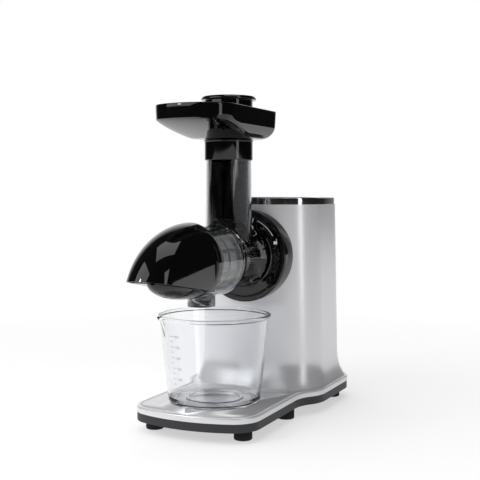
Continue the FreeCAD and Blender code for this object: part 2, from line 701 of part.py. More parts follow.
def make_cord_inlet():
    back = TOWER_BACK_Y + WALL
    body = disc(INLET_RADIUS, TOWER_BACK_Y - 4, back + 5, 0, inlet_z())
    body = body.fuse(disc(INLET_RADIUS + 2.5, back, back + 2, 0, inlet_z()))
    body = body.fuse(disc(INLET_RADIUS + 2, TOWER_BACK_Y - 4, TOWER_BACK_Y, 0, inlet_z()))
    return body.cut(disc(INLET_BORE, TOWER_BACK_Y - 6, back + 7, 0, inlet_z()))


# drive
def make_gearbox_housing():
    half = GEARBOX_HALF
    box = block(-half, half, GEARBOX_FRONT_Y, GEARBOX_BACK_Y, GEARBOX_BOTTOM, GEARBOX_TOP)
    long_edges = [e for e in box.Edges if e.BoundBox.YLength > 10]
    box = box.makeFillet(GEARBOX_CORNER, long_edges)
    wall = GEARBOX_WALL
    inside = block(-half + wall, half - wall, GEARBOX_FRONT_Y + wall, GEARBOX_BACK_Y + CUT,
                   GEARBOX_BOTTOM + wall, GEARBOX_TOP - wall)
    inside = inside.makeFillet(GEARBOX_CORNER - wall, [e for e in inside.Edges if e.BoundBox.YLength > 10])
    box = box.cut(inside)
    inner_wall = GEARBOX_FRONT_Y + GEARBOX_WALL
    box = box.fuse(disc(DRIVE_BOSS_RADIUS, GEARBOX_FRONT_Y - 2, inner_wall + 3))
    box = box.fuse(disc(COUNTER_BOSS_RADIUS, inner_wall - 1, inner_wall + 4, 0, COUNTER_Z))
    box = box.cut(disc(DRIVE_RADIUS - 0.5, GEARBOX_FRONT_Y - 5, inner_wall + 5))
    return box.cut(disc(COUNTER_BUSH_RADIUS, GEARBOX_FRONT_Y + 1, inner_wall + 6, 0, COUNTER_Z))


def gearbox_screw_places():
    x = GEARBOX_HALF - GEARBOX_SCREW_INSET
    return mirrored((x, GEARBOX_BOTTOM + GEARBOX_SCREW_INSET), (x, GEARBOX_TOP - GEARBOX_SCREW_INSET))


def make_gearbox_cover():
    back = GEARBOX_BACK_Y + GEARBOX_WALL
    cover = block(-GEARBOX_HALF, GEARBOX_HALF, GEARBOX_BACK_Y, back, GEARBOX_BOTTOM, GEARBOX_TOP)
    corners = [e for e in cover.Edges if e.BoundBox.YLength > GEARBOX_WALL - 0.01]
    cover = cover.makeFillet(GEARBOX_CORNER, corners)
    tube_front = GEARBOX_BACK_Y - GEARBOX_TUBE_LENGTH
    for x, z in gearbox_screw_places():
        cover = cover.fuse(disc(GEARBOX_TUBE_RADIUS, tube_front, GEARBOX_BACK_Y + CUT, x, z))
        cover = cover.cut(disc(SCREW_RADIUS + 0.1, tube_front - CUT, back + CUT, x, z))
    cover = cover.cut(disc(DRIVE_RADIUS - 0.5, GEARBOX_BACK_Y - 1, back + 1))
    cover = cover.cut(disc(COUNTER_BUSH_RADIUS, GEARBOX_BACK_Y - 1, back + 1, 0, COUNTER_Z))
    return cover.cut(disc(MOTOR_SHAFT_RADIUS + 3, GEARBOX_BACK_Y - 1, back + 1, 0, MOTOR_Z))


def make_gearbox_screws():
    back = GEARBOX_BACK_Y + GEARBOX_WALL
    return Part.makeCompound([screw_y(x, z, back - 20, back, 1) for x, z in gearbox_screw_places()])


def bush(bore, outer, y0, y1, z):
    return ring_y(outer, bore + RUN_GAP, y0, y1, 0, z)


def make_output_bearings():
    inner_wall = GEARBOX_FRONT_Y + GEARBOX_WALL
    back = GEARBOX_BACK_Y + GEARBOX_WALL
    outer = DRIVE_RADIUS - 0.5
    return Part.makeCompound([
        bush(SHAFT_RADIUS, outer, GEARBOX_FRONT_Y - 2, inner_wall + 3, AXIS_Z),
        bush(SHAFT_RADIUS, outer, GEARBOX_BACK_Y, back, AXIS_Z)])


def make_counter_bushes():
    inner_wall = GEARBOX_FRONT_Y + GEARBOX_WALL
    back = GEARBOX_BACK_Y + GEARBOX_WALL
    return Part.makeCompound([
        bush(COUNTER_RADIUS, COUNTER_BUSH_RADIUS, GEARBOX_FRONT_Y + 1, inner_wall + 4, COUNTER_Z),
        bush(COUNTER_RADIUS, COUNTER_BUSH_RADIUS, GEARBOX_BACK_Y, back, COUNTER_Z)])


def make_output_shaft():
    """A shaft with the hexagon socket that turns the auger on its front end."""
    head_back = GEARBOX_FRONT_Y - 2 - REST_GAP
    shaft = disc(DRIVE_RADIUS, 10.5, head_back).fuse(disc(SHAFT_RADIUS, head_back - 1, GEARBOX_BACK_Y + 5))
    return shaft.cut(hexagon(HEX_FLATS + 0.4, 9, 27))


def make_output_wheel():
    wheel = gear(SLOW_MODULE, WHEEL_TEETH, SLOW_WIDTH, SLOW_Y, AXIS_Z, 0.0, SHAFT_RADIUS)
    web = ring_y(SLOW_MODULE * WHEEL_TEETH / 2 - 5, SHAFT_RADIUS + 5, SLOW_Y - 1, SLOW_Y + 3.5)
    back_web = web.copy()
    back_web.translate(V(0, SLOW_WIDTH - 2.5, 0))
    return wheel.cut(web).cut(back_web)


def mesh_phase(teeth):
    """Turn a gear whose wheel lies above it so that a gap faces the wheel's tooth."""
    top_tooth = math.pi / 2
    return top_tooth + math.pi / teeth


def make_counter_pinion():
    return gear(SLOW_MODULE, PINION_TEETH, SLOW_WIDTH + 2, SLOW_Y - 1, COUNTER_Z,
                mesh_phase(PINION_TEETH), COUNTER_RADIUS)


def make_counter_wheel():
    return gear(FAST_MODULE, WHEEL_TEETH, FAST_WIDTH, FAST_Y, COUNTER_Z, 0.0, COUNTER_RADIUS)


def make_counter_shaft():
    return disc(COUNTER_RADIUS, GEARBOX_FRONT_Y + 1 + REST_GAP, GEARBOX_BACK_Y + GEARBOX_WALL, 0, COUNTER_Z)


def make_motor_pinion():
    return gear(FAST_MODULE, PINION_TEETH, FAST_WIDTH + 2, FAST_Y - 1, MOTOR_Z,
                mesh_phase(PINION_TEETH), MOTOR_SHAFT_RADIUS)


def motor_front():
    return GEARBOX_BACK_Y + GEARBOX_WALL


def motor_back():
    return motor_front() + MOTOR_LENGTH


def make_motor_can():
    can = disc(MOTOR_RADIUS, motor_front(), motor_back(), 0, MOTOR_Z)
    wall = MOTOR_CAN_WALL
    can = can.cut(disc(MOTOR_RADIUS - wall, motor_front() + wall, motor_back() + CUT, 0, MOTOR_Z))
    return can.cut(disc(MOTOR_BUSH_RADIUS, motor_front() - CUT, motor_front() + 4, 0, MOTOR_Z))


def make_motor_bushes():
    return Part.makeCompound([
        bush(MOTOR_SHAFT_RADIUS, MOTOR_BUSH_RADIUS, motor_front(), motor_front() + 4, MOTOR_Z),
        bush(MOTOR_SHAFT_RADIUS, MOTOR_BUSH_RADIUS, motor_back() - 4, motor_back() + 2, MOTOR_Z)])


def make_motor_end():
    cap = disc(MOTOR_RADIUS, motor_back(), motor_back() + MOTOR_CAN_WALL, 0, MOTOR_Z)
    return cap.cut(disc(MOTOR_BUSH_RADIUS, motor_back() - 1, motor_back() + 3, 0, MOTOR_Z))


def make_rotor():
    """Laminated rotor with eight slots."""
    rotor = disc(ROTOR_RADIUS, motor_front() + ROTOR_INSET, motor_back() - ROTOR_INSET, 0, MOTOR_Z)
    for i in range(ROTOR_SLOTS):
        turn = 2 * math.pi * i / ROTOR_SLOTS
        reach = ROTOR_RADIUS - 1
        rotor = rotor.cut(disc(3.5, motor_front() + 7, motor_back() - 7,
                               reach * math.cos(turn), MOTOR_Z + reach * math.sin(turn)))
    return rotor.cut(disc(MOTOR_SHAFT_RADIUS, motor_front(), motor_back(), 0, MOTOR_Z))


def make_magnets():
    ring = ring_y(MOTOR_RADIUS - MOTOR_CAN_WALL, MOTOR_RADIUS - MOTOR_CAN_WALL - MAGNET_THICKNESS,
                  motor_front() + ROTOR_INSET, motor_back() - ROTOR_INSET, 0, MOTOR_Z)
    return ring.cut(block(-8, 8, motor_front(), motor_back(), MOTOR_Z - 40, MOTOR_Z + 40))


def make_motor_shaft():
    return disc(MOTOR_SHAFT_RADIUS, FAST_Y - 3, motor_back() + 10, 0, MOTOR_Z)


def make_cooling_fan():
    y0 = motor_back() + 2.8
    fan = disc(FAN_HUB_RADIUS, y0, y0 + FAN_WIDTH, 0, MOTOR_Z)
    for i in range(FAN_BLADES):
        blade = block(-1.0, 1.0, y0, y0 + 5, MOTOR_Z + FAN_HUB_RADIUS - 2, MOTOR_Z + FAN_RADIUS)
        blade.rotate(V(0, y0 + 2.5, MOTOR_Z), V(0, 0, 1), 20)
        blade.rotate(V(0, 0, MOTOR_Z), V(0, 1, 0), 360 / FAN_BLADES * i)
        fan = fan.fuse(blade)
    return fan.cut(disc(MOTOR_SHAFT_RADIUS, y0 - CUT, y0 + FAN_WIDTH + CUT, 0, MOTOR_Z))


def make_drive_bracket():
    """A pressed bracket that carries the gearbox on the base plate."""
    top = GEARBOX_BOTTOM
    front, back = GEARBOX_FRONT_Y + 2, GEARBOX_BACK_Y - 2
    half = BRACKET_HALF
    bracket = block(-half, half, front, back, top - BRACKET_SHEET, top)
    bracket = bracket.fuse(block(-half, half, front, back + 28, DECK_FLOOR, DECK_FLOOR + BRACKET_SHEET))
    for x in (-half, half - BRACKET_SHEET):
        bracket = bracket.fuse(block(x, x + BRACKET_SHEET, front, back, DECK_FLOOR, top))
    return bracket


# drum
def jacket_radius(y):
    share = (y - JACKET_FRONT_Y) / (JACKET_BACK_Y - JACKET_FRONT_Y)
    return JACKET_FRONT_RADIUS + (JACKET_BACK_RADIUS - JACKET_FRONT_RADIUS) * share


def make_juicing_drum():
    front_r, back_r = JACKET_FRONT_RADIUS, JACKET_BACK_RADIUS
    outer = revolve_y([
        (0, NECK_BACK_Y), (NECK_RADIUS, NECK_BACK_Y), (NECK_RADIUS, STOP_BACK_Y), (STOP_RADIUS, STOP_BACK_Y),
        (STOP_RADIUS, STOP_FRONT_Y), (NECK_RADIUS, STOP_FRONT_Y), (NECK_RADIUS, JACKET_BACK_Y),
        (back_r - 1, JACKET_BACK_Y), (back_r, JACKET_BACK_Y - 1), (front_r, JACKET_FRONT_Y),
        (0, JACKET_FRONT_Y)])
    tube = post(TUBE_RADIUS, AXIS_Z, TUBE_TOP, 0, TUBE_Y)
    nozzle = post(NOZZLE_RADIUS, NOZZLE_BOTTOM, AXIS_Z, 0, NOZZLE_Y)
    drum = outer.fuse(tube).fuse(nozzle)
    for i in range(3):
        turn = math.radians(70 + 120 * i)
        x, z = (STOP_RADIUS - 1) * math.cos(turn), AXIS_Z + (STOP_RADIUS - 1) * math.sin(turn)
        lug = disc(LUG_RADIUS, STOP_FRONT_Y, STOP_BACK_Y, x, z)
        drum = drum.fuse(lug)
    chamber = revolve_y([
        (0, 6.0), (BORE_RADIUS, 6.0), (BORE_RADIUS, JACKET_BACK_Y - DRUM_WALL),
        (back_r - DRUM_WALL, JACKET_BACK_Y - DRUM_WALL), (front_r - DRUM_WALL, JACKET_FRONT_Y - 1),
        (0, JACKET_FRONT_Y - 1)])
    drum = drum.cut(chamber)
    drum = drum.cut(post(TUBE_BORE, AXIS_Z, TUBE_TOP + CUT, 0, TUBE_Y))
    drum = drum.cut(post(NOZZLE_RADIUS - NOZZLE_WALL, NOZZLE_BOTTOM - 1, AXIS_Z, 0, NOZZLE_Y))
    drum = drum.cut(disc(BORE_RADIUS, 9.0, NECK_BACK_Y + 1))
    return drum.cut(disc(SEAL_RADIUS, 5.0, 10.0))


def make_auger_seal():
    bore = AUGER_NECK_RADIUS + RUN_GAP
    lip = ring_y(SEAL_RADIUS + 3, bore, 9.0, 10.0)
    return ring_y(SEAL_RADIUS, bore, 6.0, 9.0).fuse(lip)


def make_strainer():
    y0, y1 = JACKET_FRONT_Y + 1.0, JACKET_BACK_Y - DRUM_WALL - REST_GAP
    basket = ring_y(STRAINER_RADIUS, STRAINER_RADIUS - STRAINER_WALL, y0, y1)
    for i in range(STRAINER_SLOTS):
        slot = block(-0.6, 0.6, y0 + 8, y1 - 8, AXIS_Z + STRAINER_RADIUS - 4, AXIS_Z + STRAINER_RADIUS + 3)
        slot.rotate(V(0, 0, AXIS_Z), V(0, 1, 0), 360 / STRAINER_SLOTS * i)
        basket = basket.cut(slot)
    return basket.fuse(ring_y(jacket_radius(y1) - DRUM_WALL - REST_GAP, STRAINER_RADIUS - 1, y1 - 2, y1))


def make_auger():
    """A tapered core with one helical flight, a back disc, a hexagon drive and a front pin."""
    y0, y1 = JACKET_FRONT_Y + 3.0, AUGER_BACK_Y
    core = Part.makeCone(AUGER_CORE_FRONT, AUGER_CORE_BACK, y1 - y0, V(0, y0, AXIS_Z), V(0, 1, 0))
    length = y1 - y0 - 6
    helix = Part.makeHelix(AUGER_PITCH, length, AUGER_RADIUS)
    low, high = 6.0, AUGER_RADIUS
    root, tip = FLIGHT_ROOT_HALF, FLIGHT_TIP_HALF
    corners = [V(low, 0, -root), V(high, 0, -tip), V(high, 0, tip), V(low, 0, root)]
    section = Part.makePolygon(corners + [corners[0]])
    flight = Part.Wire(helix).makePipeShell([section], True, True)
    flight.rotate(V(0, 0, 0), V(1, 0, 0), -90)
    flight.translate(V(0, y0 + 3, AXIS_Z))
    auger = core.fuse(flight)
    auger = auger.fuse(disc(AUGER_RADIUS, y1 - 5, y1))
    auger = auger.fuse(disc(AUGER_NECK_RADIUS, y1 - CUT, 10.2))
    auger = auger.fuse(hexagon(HEX_FLATS, 9.0, 25.0))
    return auger.fuse(disc(PIN_RADIUS, y0 - PIN_LENGTH, y0 + CUT))


def oval_wire(half_width, half_height, y, centre_z):
    """A closed smooth oval in an upright plane."""
    points = []
    for i in range(24):
        turn = 2 * math.pi * i / 24
        points.append(V(half_width * math.sin(turn), y, centre_z + half_height * math.cos(turn)))
    spline = Part.BSplineCurve()
    spline.interpolate(Points=points, PeriodicFlag=True)
    return Part.Wire(spline.toShape())


def cheek_solid(inset):
    """The nose's side form: the ring's circle drawn out, fast at first, to a tall, narrow oval."""
    ovals = []
    for share in (0.0, 0.004, 0.02, 0.06, 0.14, 0.28, 0.5, 0.75, 1.0):
        half = JACKET_FRONT_RADIUS + (CHEEK_TIP_HALF - JACKET_FRONT_RADIUS) * share ** CHEEK_WIDTH_POWER
        height = JACKET_FRONT_RADIUS + (CHEEK_TIP_HEIGHT - JACKET_FRONT_RADIUS) * share ** CHEEK_HEIGHT_POWER
        ovals.append(oval_wire(half - inset, height - inset, JACKET_FRONT_Y - CHEEK_LENGTH * share,
                               AXIS_Z - CHEEK_TIP_DROP * share))
    return Part.makeLoft(ovals, True, True)


def lip_z(y):
    return LIP_TIP_Z - LIP_SLOPE * (y - NOSE_FRONT_Y)


def lip_wedge(offset, height):
    """Everything above the sloping lip plane, raised by an offset."""
    y0, y1 = NOSE_FRONT_Y - 20, JACKET_FRONT_Y + 20
    low, high = lip_z(y0) + offset, lip_z(y1) + offset
    points = [V(-70, y0, low), V(-70, y1, high), V(-70, y1, high + height), V(-70, y0, low + height)]
    return Part.Face(Part.makePolygon(points + [points[0]])).extrude(V(140, 0, 0))


def hood_form(inset):
    centre = V(0, JACKET_FRONT_Y, HOOD_CENTRE_Z)
    dome = ellipsoid(HOOD_HALF_WIDTH - inset, HOOD_LENGTH - inset, HOOD_HEIGHT - inset, centre)
    return dome.common(cheek_solid(inset))


def bowl_form(inset):
    centre = V(0, JACKET_FRONT_Y, AXIS_Z - BOWL_CENTRE_DROP)
    return ellipsoid(BOWL_HALF_WIDTH - inset, BOWL_LENGTH - inset, BOWL_DEPTH - inset, centre)


def hub_span():
    """The auger's front bearing, just ahead of the drum's edge."""
    hub_back = JACKET_FRONT_Y - 0.5
    return hub_back - HUB_LENGTH, hub_back


def make_end_cap():
    """The glossy nose: hood, closed underside, chin bowl, spigot and the auger's front bearing."""
    ahead = block(-70, 70, JACKET_FRONT_Y - 140, JACKET_FRONT_Y, 100, 300)
    hood = hood_form(0.0).common(lip_wedge(0.0, 90))
    bowl = bowl_form(0.0).common(ahead).cut(lip_wedge(CAP_WALL / 2, 90))
    nose = hood.fuse(bowl)
    hood_room = hood_form(CAP_WALL).common(lip_wedge(CAP_WALL, 90))
    nose = nose.cut(hood_room)
    nose = nose.cut(bowl_form(CAP_WALL))
    outlet_back = JACKET_FRONT_Y - BOWL_LENGTH + CAP_WALL
    outlet = block(-60, 60, NOSE_FRONT_Y - 10, outlet_back, 100, AXIS_Z)
    nose = nose.cut(outlet.common(hood_form(CAP_WALL)))
    nose = nose.fuse(ring_y(JACKET_FRONT_RADIUS - 0.1, JACKET_FRONT_RADIUS - 5, JACKET_FRONT_Y - BAND_LENGTH,
                            JACKET_FRONT_Y))
    spigot = ring_y(jacket_radius(JACKET_FRONT_Y) - DRUM_WALL - CAP_TRAVEL_ROOM, STRAINER_RADIUS + 0.3,
                    JACKET_FRONT_Y - 3, JACKET_FRONT_Y + SPIGOT_LENGTH)
    hub_y0, hub_y1 = hub_span()
    hub = disc(PIN_RADIUS + 2 * BUSH_WALL, hub_y0, hub_y1)
    for i in range(3):
        spoke = block(-SPOKE_WIDTH / 2, SPOKE_WIDTH / 2, hub_y0, hub_y1, AXIS_Z + PIN_RADIUS + 2,
                      AXIS_Z + JACKET_FRONT_RADIUS - 4)
        spoke.rotate(V(0, 0, AXIS_Z), V(0, 1, 0), 60 + 120 * i)
        hub = hub.fuse(spoke)
    hub = hub.cut(disc(PIN_RADIUS + BUSH_WALL, hub_y0 - CUT, hub_y1 + CUT))
    return nose.fuse(spigot).fuse(hub)


def make_front_bush():
    hub_y0, hub_y1 = hub_span()
    return bush(PIN_RADIUS, PIN_RADIUS + BUSH_WALL, hub_y0, hub_y1, AXIS_Z)


# hopper and pusher
def tray_form(inset, z_shift):
    """The tray's form: upright walls over a rounded bottom that slopes up to the front."""
    sections = [tray_section(TRAY_RIM_Z + z_shift, 0.0, 0.0, inset)]
    under_height = TRAY_RIM_Z - TRAY_STRAIGHT - TRAY_FLOOR_Z
    for fall in (0.0, 0.35, 0.6, 0.8, 0.92, 1.0):
        draw_in = TRAY_UNDER_ROUND * (1 - math.sqrt(1 - fall ** 2))
        front_rise = TRAY_FRONT_RISE * fall ** TRAY_RISE_POWER
        z = TRAY_RIM_Z - TRAY_STRAIGHT - under_height * fall
        sections.append(tray_section(z + z_shift, draw_in, front_rise, inset))
    return Part.makeLoft(sections, True, True)


def tray_section(z, draw_in, front_rise, inset):
    return bowed_outline(z, TRAY_HALF - draw_in - inset, TRAY_FRONT_Y + front_rise + inset,
                         TRAY_BACK_Y - draw_in - inset, TRAY_BOW_RADIUS - draw_in - inset,
                         TRAY_FRONT_RADIUS - draw_in * 0.8 - inset, TRAY_BACK_RADIUS + draw_in * 0.6 - inset)


def make_hopper():
    """Tray, neck and collar in one moulding; the collar slips over the feed tube."""
    tray = tray_form(0.0, 0.0)
    neck_radius = COLLAR_RADIUS - COLLAR_BEAD
    neck_top = TRAY_RIM_Z - TRAY_STRAIGHT
    neck = revolve_z([(0, COLLAR_BOTTOM), (COLLAR_RADIUS, COLLAR_BOTTOM),
                      (COLLAR_RADIUS, TRAY_NECK_Z - COLLAR_BEAD),
                      (COLLAR_RADIUS + COLLAR_BEAD, TRAY_NECK_Z), (neck_radius, TRAY_NECK_Z + COLLAR_BEAD),
                      (neck_radius, neck_top), (0, neck_top)], 0, TUBE_Y)
    hopper = tray.fuse(neck)
    room = tray_form(TRAY_WALL, TRAY_WALL)
    hopper = hopper.cut(room)
    hopper = hopper.cut(block(-90, 90, -250, 90, TRAY_RIM_Z, TRAY_RIM_Z + 20))
    ledge = TUBE_TOP + REST_GAP
    hopper = hopper.cut(post(TUBE_RADIUS + FIT_GAP, COLLAR_BOTTOM - 1, ledge, 0, TUBE_Y))
    return hopper.cut(post(TUBE_BORE, ledge - CUT, TRAY_RIM_Z + CUT, 0, TUBE_Y))


def pusher_seat():
    return TRAY_FLOOR_Z + TRAY_WALL + REST_GAP


def make_pusher():
    """A hollow plunger whose wide head rests on the tray's floor."""
    seat = pusher_seat()
    outer = revolve_z([
        (0, PUSHER_BOTTOM), (PUSHER_RADIUS - 1, PUSHER_BOTTOM), (PUSHER_RADIUS, PUSHER_BOTTOM + 1),
        (PUSHER_RADIUS, seat), (PUSHER_HEAD_RADIUS - PUSHER_SEAT_CHAMFER, seat),
        (PUSHER_HEAD_RADIUS, seat + PUSHER_SEAT_CHAMFER), (PUSHER_HEAD_RADIUS, PUSHER_RIM_Z - 1),
        (PUSHER_RIM_RADIUS, PUSHER_RIM_Z), (PUSHER_RIM_RADIUS, PUSHER_TOP - 1),
        (PUSHER_RIM_RADIUS - 1, PUSHER_TOP), (0, PUSHER_TOP)], 0, TUBE_Y)
    room = revolve_z([
        (0, PUSHER_BOTTOM + PUSHER_FLOOR), (PUSHER_RADIUS - PUSHER_WALL, PUSHER_BOTTOM + PUSHER_FLOOR),
        (PUSHER_RADIUS - PUSHER_WALL, seat + PUSHER_WALL),
        (PUSHER_HEAD_RADIUS - PUSHER_WALL, seat + PUSHER_WALL),
        (PUSHER_HEAD_RADIUS - PUSHER_WALL, PUSHER_TOP + 1), (0, PUSHER_TOP + 1)], 0, TUBE_Y)
    return outer.cut(room)


# jug
def make_jug():
    foot = DECK_FLOOR + REST_GAP
    slope = (JUG_RIM_RADIUS - JUG_FOOT_RADIUS) / (JUG_RIM_Z - foot)
    outer = revolve_z([
        (0, foot), (JUG_FOOT_RADIUS - 2, foot), (JUG_FOOT_RADIUS, foot + 2),
        (JUG_RIM_RADIUS, JUG_RIM_Z - 4), (JUG_RIM_RADIUS + JUG_BEAD, JUG_RIM_Z - 3.4),
        (JUG_RIM_RADIUS + JUG_BEAD, JUG_RIM_Z - 0.5), (JUG_RIM_RADIUS + JUG_BEAD - 0.5, JUG_RIM_Z),
        (0, JUG_RIM_Z)],
        0, JUG_Y)
    floor = foot + JUG_FLOOR
    room = revolve_z([
        (0, floor), (JUG_FOOT_RADIUS - JUG_WALL - 1, floor),
        (JUG_FOOT_RADIUS - JUG_WALL + slope * 3, floor + 2), (JUG_RIM_RADIUS - JUG_WALL, JUG_RIM_Z + 1),
        (0, JUG_RIM_Z + 1)], 0, JUG_Y)
    turn = math.radians(SPOUT_ANGLE)
    reach = JUG_RIM_RADIUS - 5
    at = V(reach * math.cos(turn), JUG_Y + reach * math.sin(turn), JUG_RIM_Z - SPOUT_HEIGHT)
    spout = Part.makeCone(1.0, SPOUT_RADIUS + 1, SPOUT_HEIGHT, at)
    groove = Part.makeCone(0.3, SPOUT_RADIUS - JUG_WALL + 1, SPOUT_HEIGHT, at + V(0, 0, 0.5))
    jug = outer.fuse(spout).cut(room).cut(groove)
    step_in = JUG_STEP_RADIUS - 3
    step = revolve_z([(step_in, floor - 1), (JUG_STEP_RADIUS, floor - 1), (JUG_STEP_RADIUS, floor + 1.2),
                      (step_in, floor + 1.2)], 0, JUG_Y)
    jug = jug.fuse(step)
    underside = revolve_z([(0, foot - 1), (JUG_FOOT_RADIUS - 9, foot - 1), (JUG_FOOT_RADIUS - 10, foot + 1.0),
                           (0, foot + 1.0)], 0, JUG_Y)
    return jug.cut(underside)


def build_nodes():
    nodes = {
        "feet": make_feet(),
        "base_pan": make_base_pan(),
        "base_plate": make_base_plate(),
        "base_screws": make_base_screws(),
        "tower_shell": make_tower_shell(),
        "flange": make_flange(),
        "flange_screws": make_flange_screws(),
        "trim_ring": make_trim_ring(),
        "top_deck": make_top_deck(),
        "control_board": make_control_board(),
        "board_screws": make_board_screws(),
        "tact_switches": make_tact_switches(),
        "rear_cover": make_rear_cover(),
        "rear_screws": make_rear_screws(),
        "cord_inlet": make_cord_inlet(),
        "drive_bracket": make_drive_bracket(),
        "gearbox_housing": make_gearbox_housing(),
        "gearbox_cover": make_gearbox_cover(),
        "gearbox_screws": make_gearbox_screws(),
        "output_bearings": make_output_bearings(),
        "output_shaft": make_output_shaft(),
        "output_wheel": make_output_wheel(),
        "counter_bushes": make_counter_bushes(),
        "counter_shaft": make_counter_shaft(),
        "counter_pinion": make_counter_pinion(),
        "counter_wheel": make_counter_wheel(),
        "motor_can": make_motor_can(),
        "motor_end": make_motor_end(),
        "motor_bushes": make_motor_bushes(),
        "motor_magnets": make_magnets(),
        "motor_rotor": make_rotor(),
        "motor_shaft": make_motor_shaft(),
        "motor_pinion": make_motor_pinion(),
        "cooling_fan": make_cooling_fan(),
        "juicing_drum": make_juicing_drum(),
        "auger_seal": make_auger_seal(),
        "strainer": make_strainer(),
        "auger": make_auger(),
        "end_cap": make_end_cap(),
        "front_bush": make_front_bush(),
        "hopper": make_hopper(),
        "pusher": make_pusher(),
        "jug": make_jug(),
    }
    for name, (x, radius) in button_sizes().items():
        nodes[name] = make_button(x, radius)
    return nodes


os.makedirs("parts", exist_ok=True)
for name, shape in build_nodes().items():
    placed = shape.copy()
    placed.translate(ORIGIN_SHIFT)
    placed.exportStep(os.path.join("parts", name + ".step"))
    box = placed.BoundBox
    print(name, "solids", len(placed.Solids), "valid", placed.isValid(), "volume", round(placed.Volume),
          "x", round(box.XMin, 1), round(box.XMax, 1), "y", round(box.YMin, 1), round(box.YMax, 1),
          "z", round(box.ZMin, 1), round(box.ZMax, 1))
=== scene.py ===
"""The looks of a cold press juicer: glossy nose, hopper and flange, smoky drum, satin tower, clear jug."""
import bpy
import bmesh
import json
import math
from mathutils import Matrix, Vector

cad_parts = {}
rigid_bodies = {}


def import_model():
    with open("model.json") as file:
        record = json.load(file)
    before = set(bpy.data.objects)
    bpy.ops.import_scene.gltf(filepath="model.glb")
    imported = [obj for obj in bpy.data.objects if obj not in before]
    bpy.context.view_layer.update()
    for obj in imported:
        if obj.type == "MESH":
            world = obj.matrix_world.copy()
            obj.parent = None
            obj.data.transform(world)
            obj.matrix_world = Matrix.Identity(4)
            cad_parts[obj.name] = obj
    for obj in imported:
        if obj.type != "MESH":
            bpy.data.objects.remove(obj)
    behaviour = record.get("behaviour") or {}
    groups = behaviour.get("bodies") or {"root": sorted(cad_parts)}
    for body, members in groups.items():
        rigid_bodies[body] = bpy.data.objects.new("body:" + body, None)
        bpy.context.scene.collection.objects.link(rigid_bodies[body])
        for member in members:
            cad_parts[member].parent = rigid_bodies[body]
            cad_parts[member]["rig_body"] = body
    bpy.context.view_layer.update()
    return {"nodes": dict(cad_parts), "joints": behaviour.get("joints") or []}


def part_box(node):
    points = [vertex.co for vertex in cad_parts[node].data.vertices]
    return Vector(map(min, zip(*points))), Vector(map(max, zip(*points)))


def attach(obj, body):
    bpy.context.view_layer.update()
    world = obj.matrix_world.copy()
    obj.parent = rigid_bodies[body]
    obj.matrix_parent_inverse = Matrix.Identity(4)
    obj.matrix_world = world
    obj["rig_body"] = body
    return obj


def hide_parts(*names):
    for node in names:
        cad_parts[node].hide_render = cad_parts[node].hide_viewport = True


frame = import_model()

MM = 0.001
FACE_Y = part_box("flange")[0].y
AXIS_Z = next(j["pos_m"][2] for j in frame["joints"] if j["name"] == "auger_spin") / MM


def at(x, y, z):
    """A point in metres from millimetres counted from the flange's front face and the floor."""
    return Vector((x * MM, FACE_Y + y * MM, z * MM))


def from_face(y):
    """A frame y in metres, as millimetres behind the flange's front face."""
    return (y - FACE_Y) / MM


# materials
def linear(hex_colour):
    """An sRGB hex colour as the linear RGBA that the shader wants."""
    parts = [int(hex_colour[i:i + 2], 16) / 255 for i in (0, 2, 4)]
    return [p / 12.92 if p <= 0.04045 else ((p + 0.055) / 1.055) ** 2.4 for p in parts] + [1.0]


def add(tree, kind, settings=None, **props):
    """A node with its properties, its inputs set to values or linked to other nodes' outputs."""
    made = tree.nodes.new(kind)
    for key, value in props.items():
        setattr(made, key, value)
    for key, value in (settings or {}).items():
        if isinstance(value, bpy.types.NodeSocket):
            tree.links.new(value, made.inputs[key])
        else:
            made.inputs[key].default_value = value
    return made


TONE_DETAIL, GRAIN_DETAIL = 3.0, 2.0
NOISE_LOW, NOISE_HIGH = 0.3, 0.7
BUMP_STRENGTH = 0.6


def new_material(name, sockets, first, second, tone_mm, rough, bump=None, stretch=None):
    """A Principled surface: two close tones, a roughness range and a bump, each with its grain in mm."""
    material = bpy.data.materials.new(name)
    material.use_nodes = True
    tree = material.node_tree
    shader = tree.nodes["Principled BSDF"]
    for key, value in sockets.items():
        shader.inputs[key].default_value = value
    place = add(tree, "ShaderNodeTexCoord").outputs["Object"]
    if stretch:
        place = add(tree, "ShaderNodeMapping", {"Vector": place, "Scale": stretch}).outputs["Vector"]
    tone = add(tree, "ShaderNodeTexNoise", {"Vector": place, "Scale": 1 / (tone_mm * MM),
                                            "Detail": TONE_DETAIL}).outputs["Fac"]
    colour = add(tree, "ShaderNodeMix", {"Factor": tone, "A": linear(first), "B": linear(second)},
                 data_type="RGBA")
    sheen = add(tree, "ShaderNodeMapRange", {"Value": tone, "From Min": NOISE_LOW, "From Max": NOISE_HIGH,
                                             "To Min": rough[0], "To Max": rough[1]})
    tree.links.new(colour.outputs["Result"], shader.inputs["Base Color"])
    tree.links.new(sheen.outputs["Result"], shader.inputs["Roughness"])
    if bump:
        grain_mm, depth_mm = bump
        grain = add(tree, "ShaderNodeTexNoise", {"Vector": place, "Scale": 1 / (grain_mm * MM),
                                                 "Detail": GRAIN_DETAIL})
        bumped = add(tree, "ShaderNodeBump", {"Height": grain.outputs["Fac"], "Distance": depth_mm * MM,
                                              "Strength": BUMP_STRENGTH})
        tree.links.new(bumped.outputs["Normal"], shader.inputs["Normal"])
    return material


def satin_silver_paint():
    """Metallic lacquer sprayed on ABS: aluminium flake, drawn coarser to show, under a soft even sheen."""
    return new_material("satin_silver_lacquer",
                        {"Metallic": 0.45, "IOR": 1.5, "Coat Weight": 0.2, "Coat Roughness": 0.15},
                        "E0E0E3", "E5E5E8", 0.35, (0.27, 0.32), (0.3, 0.008))


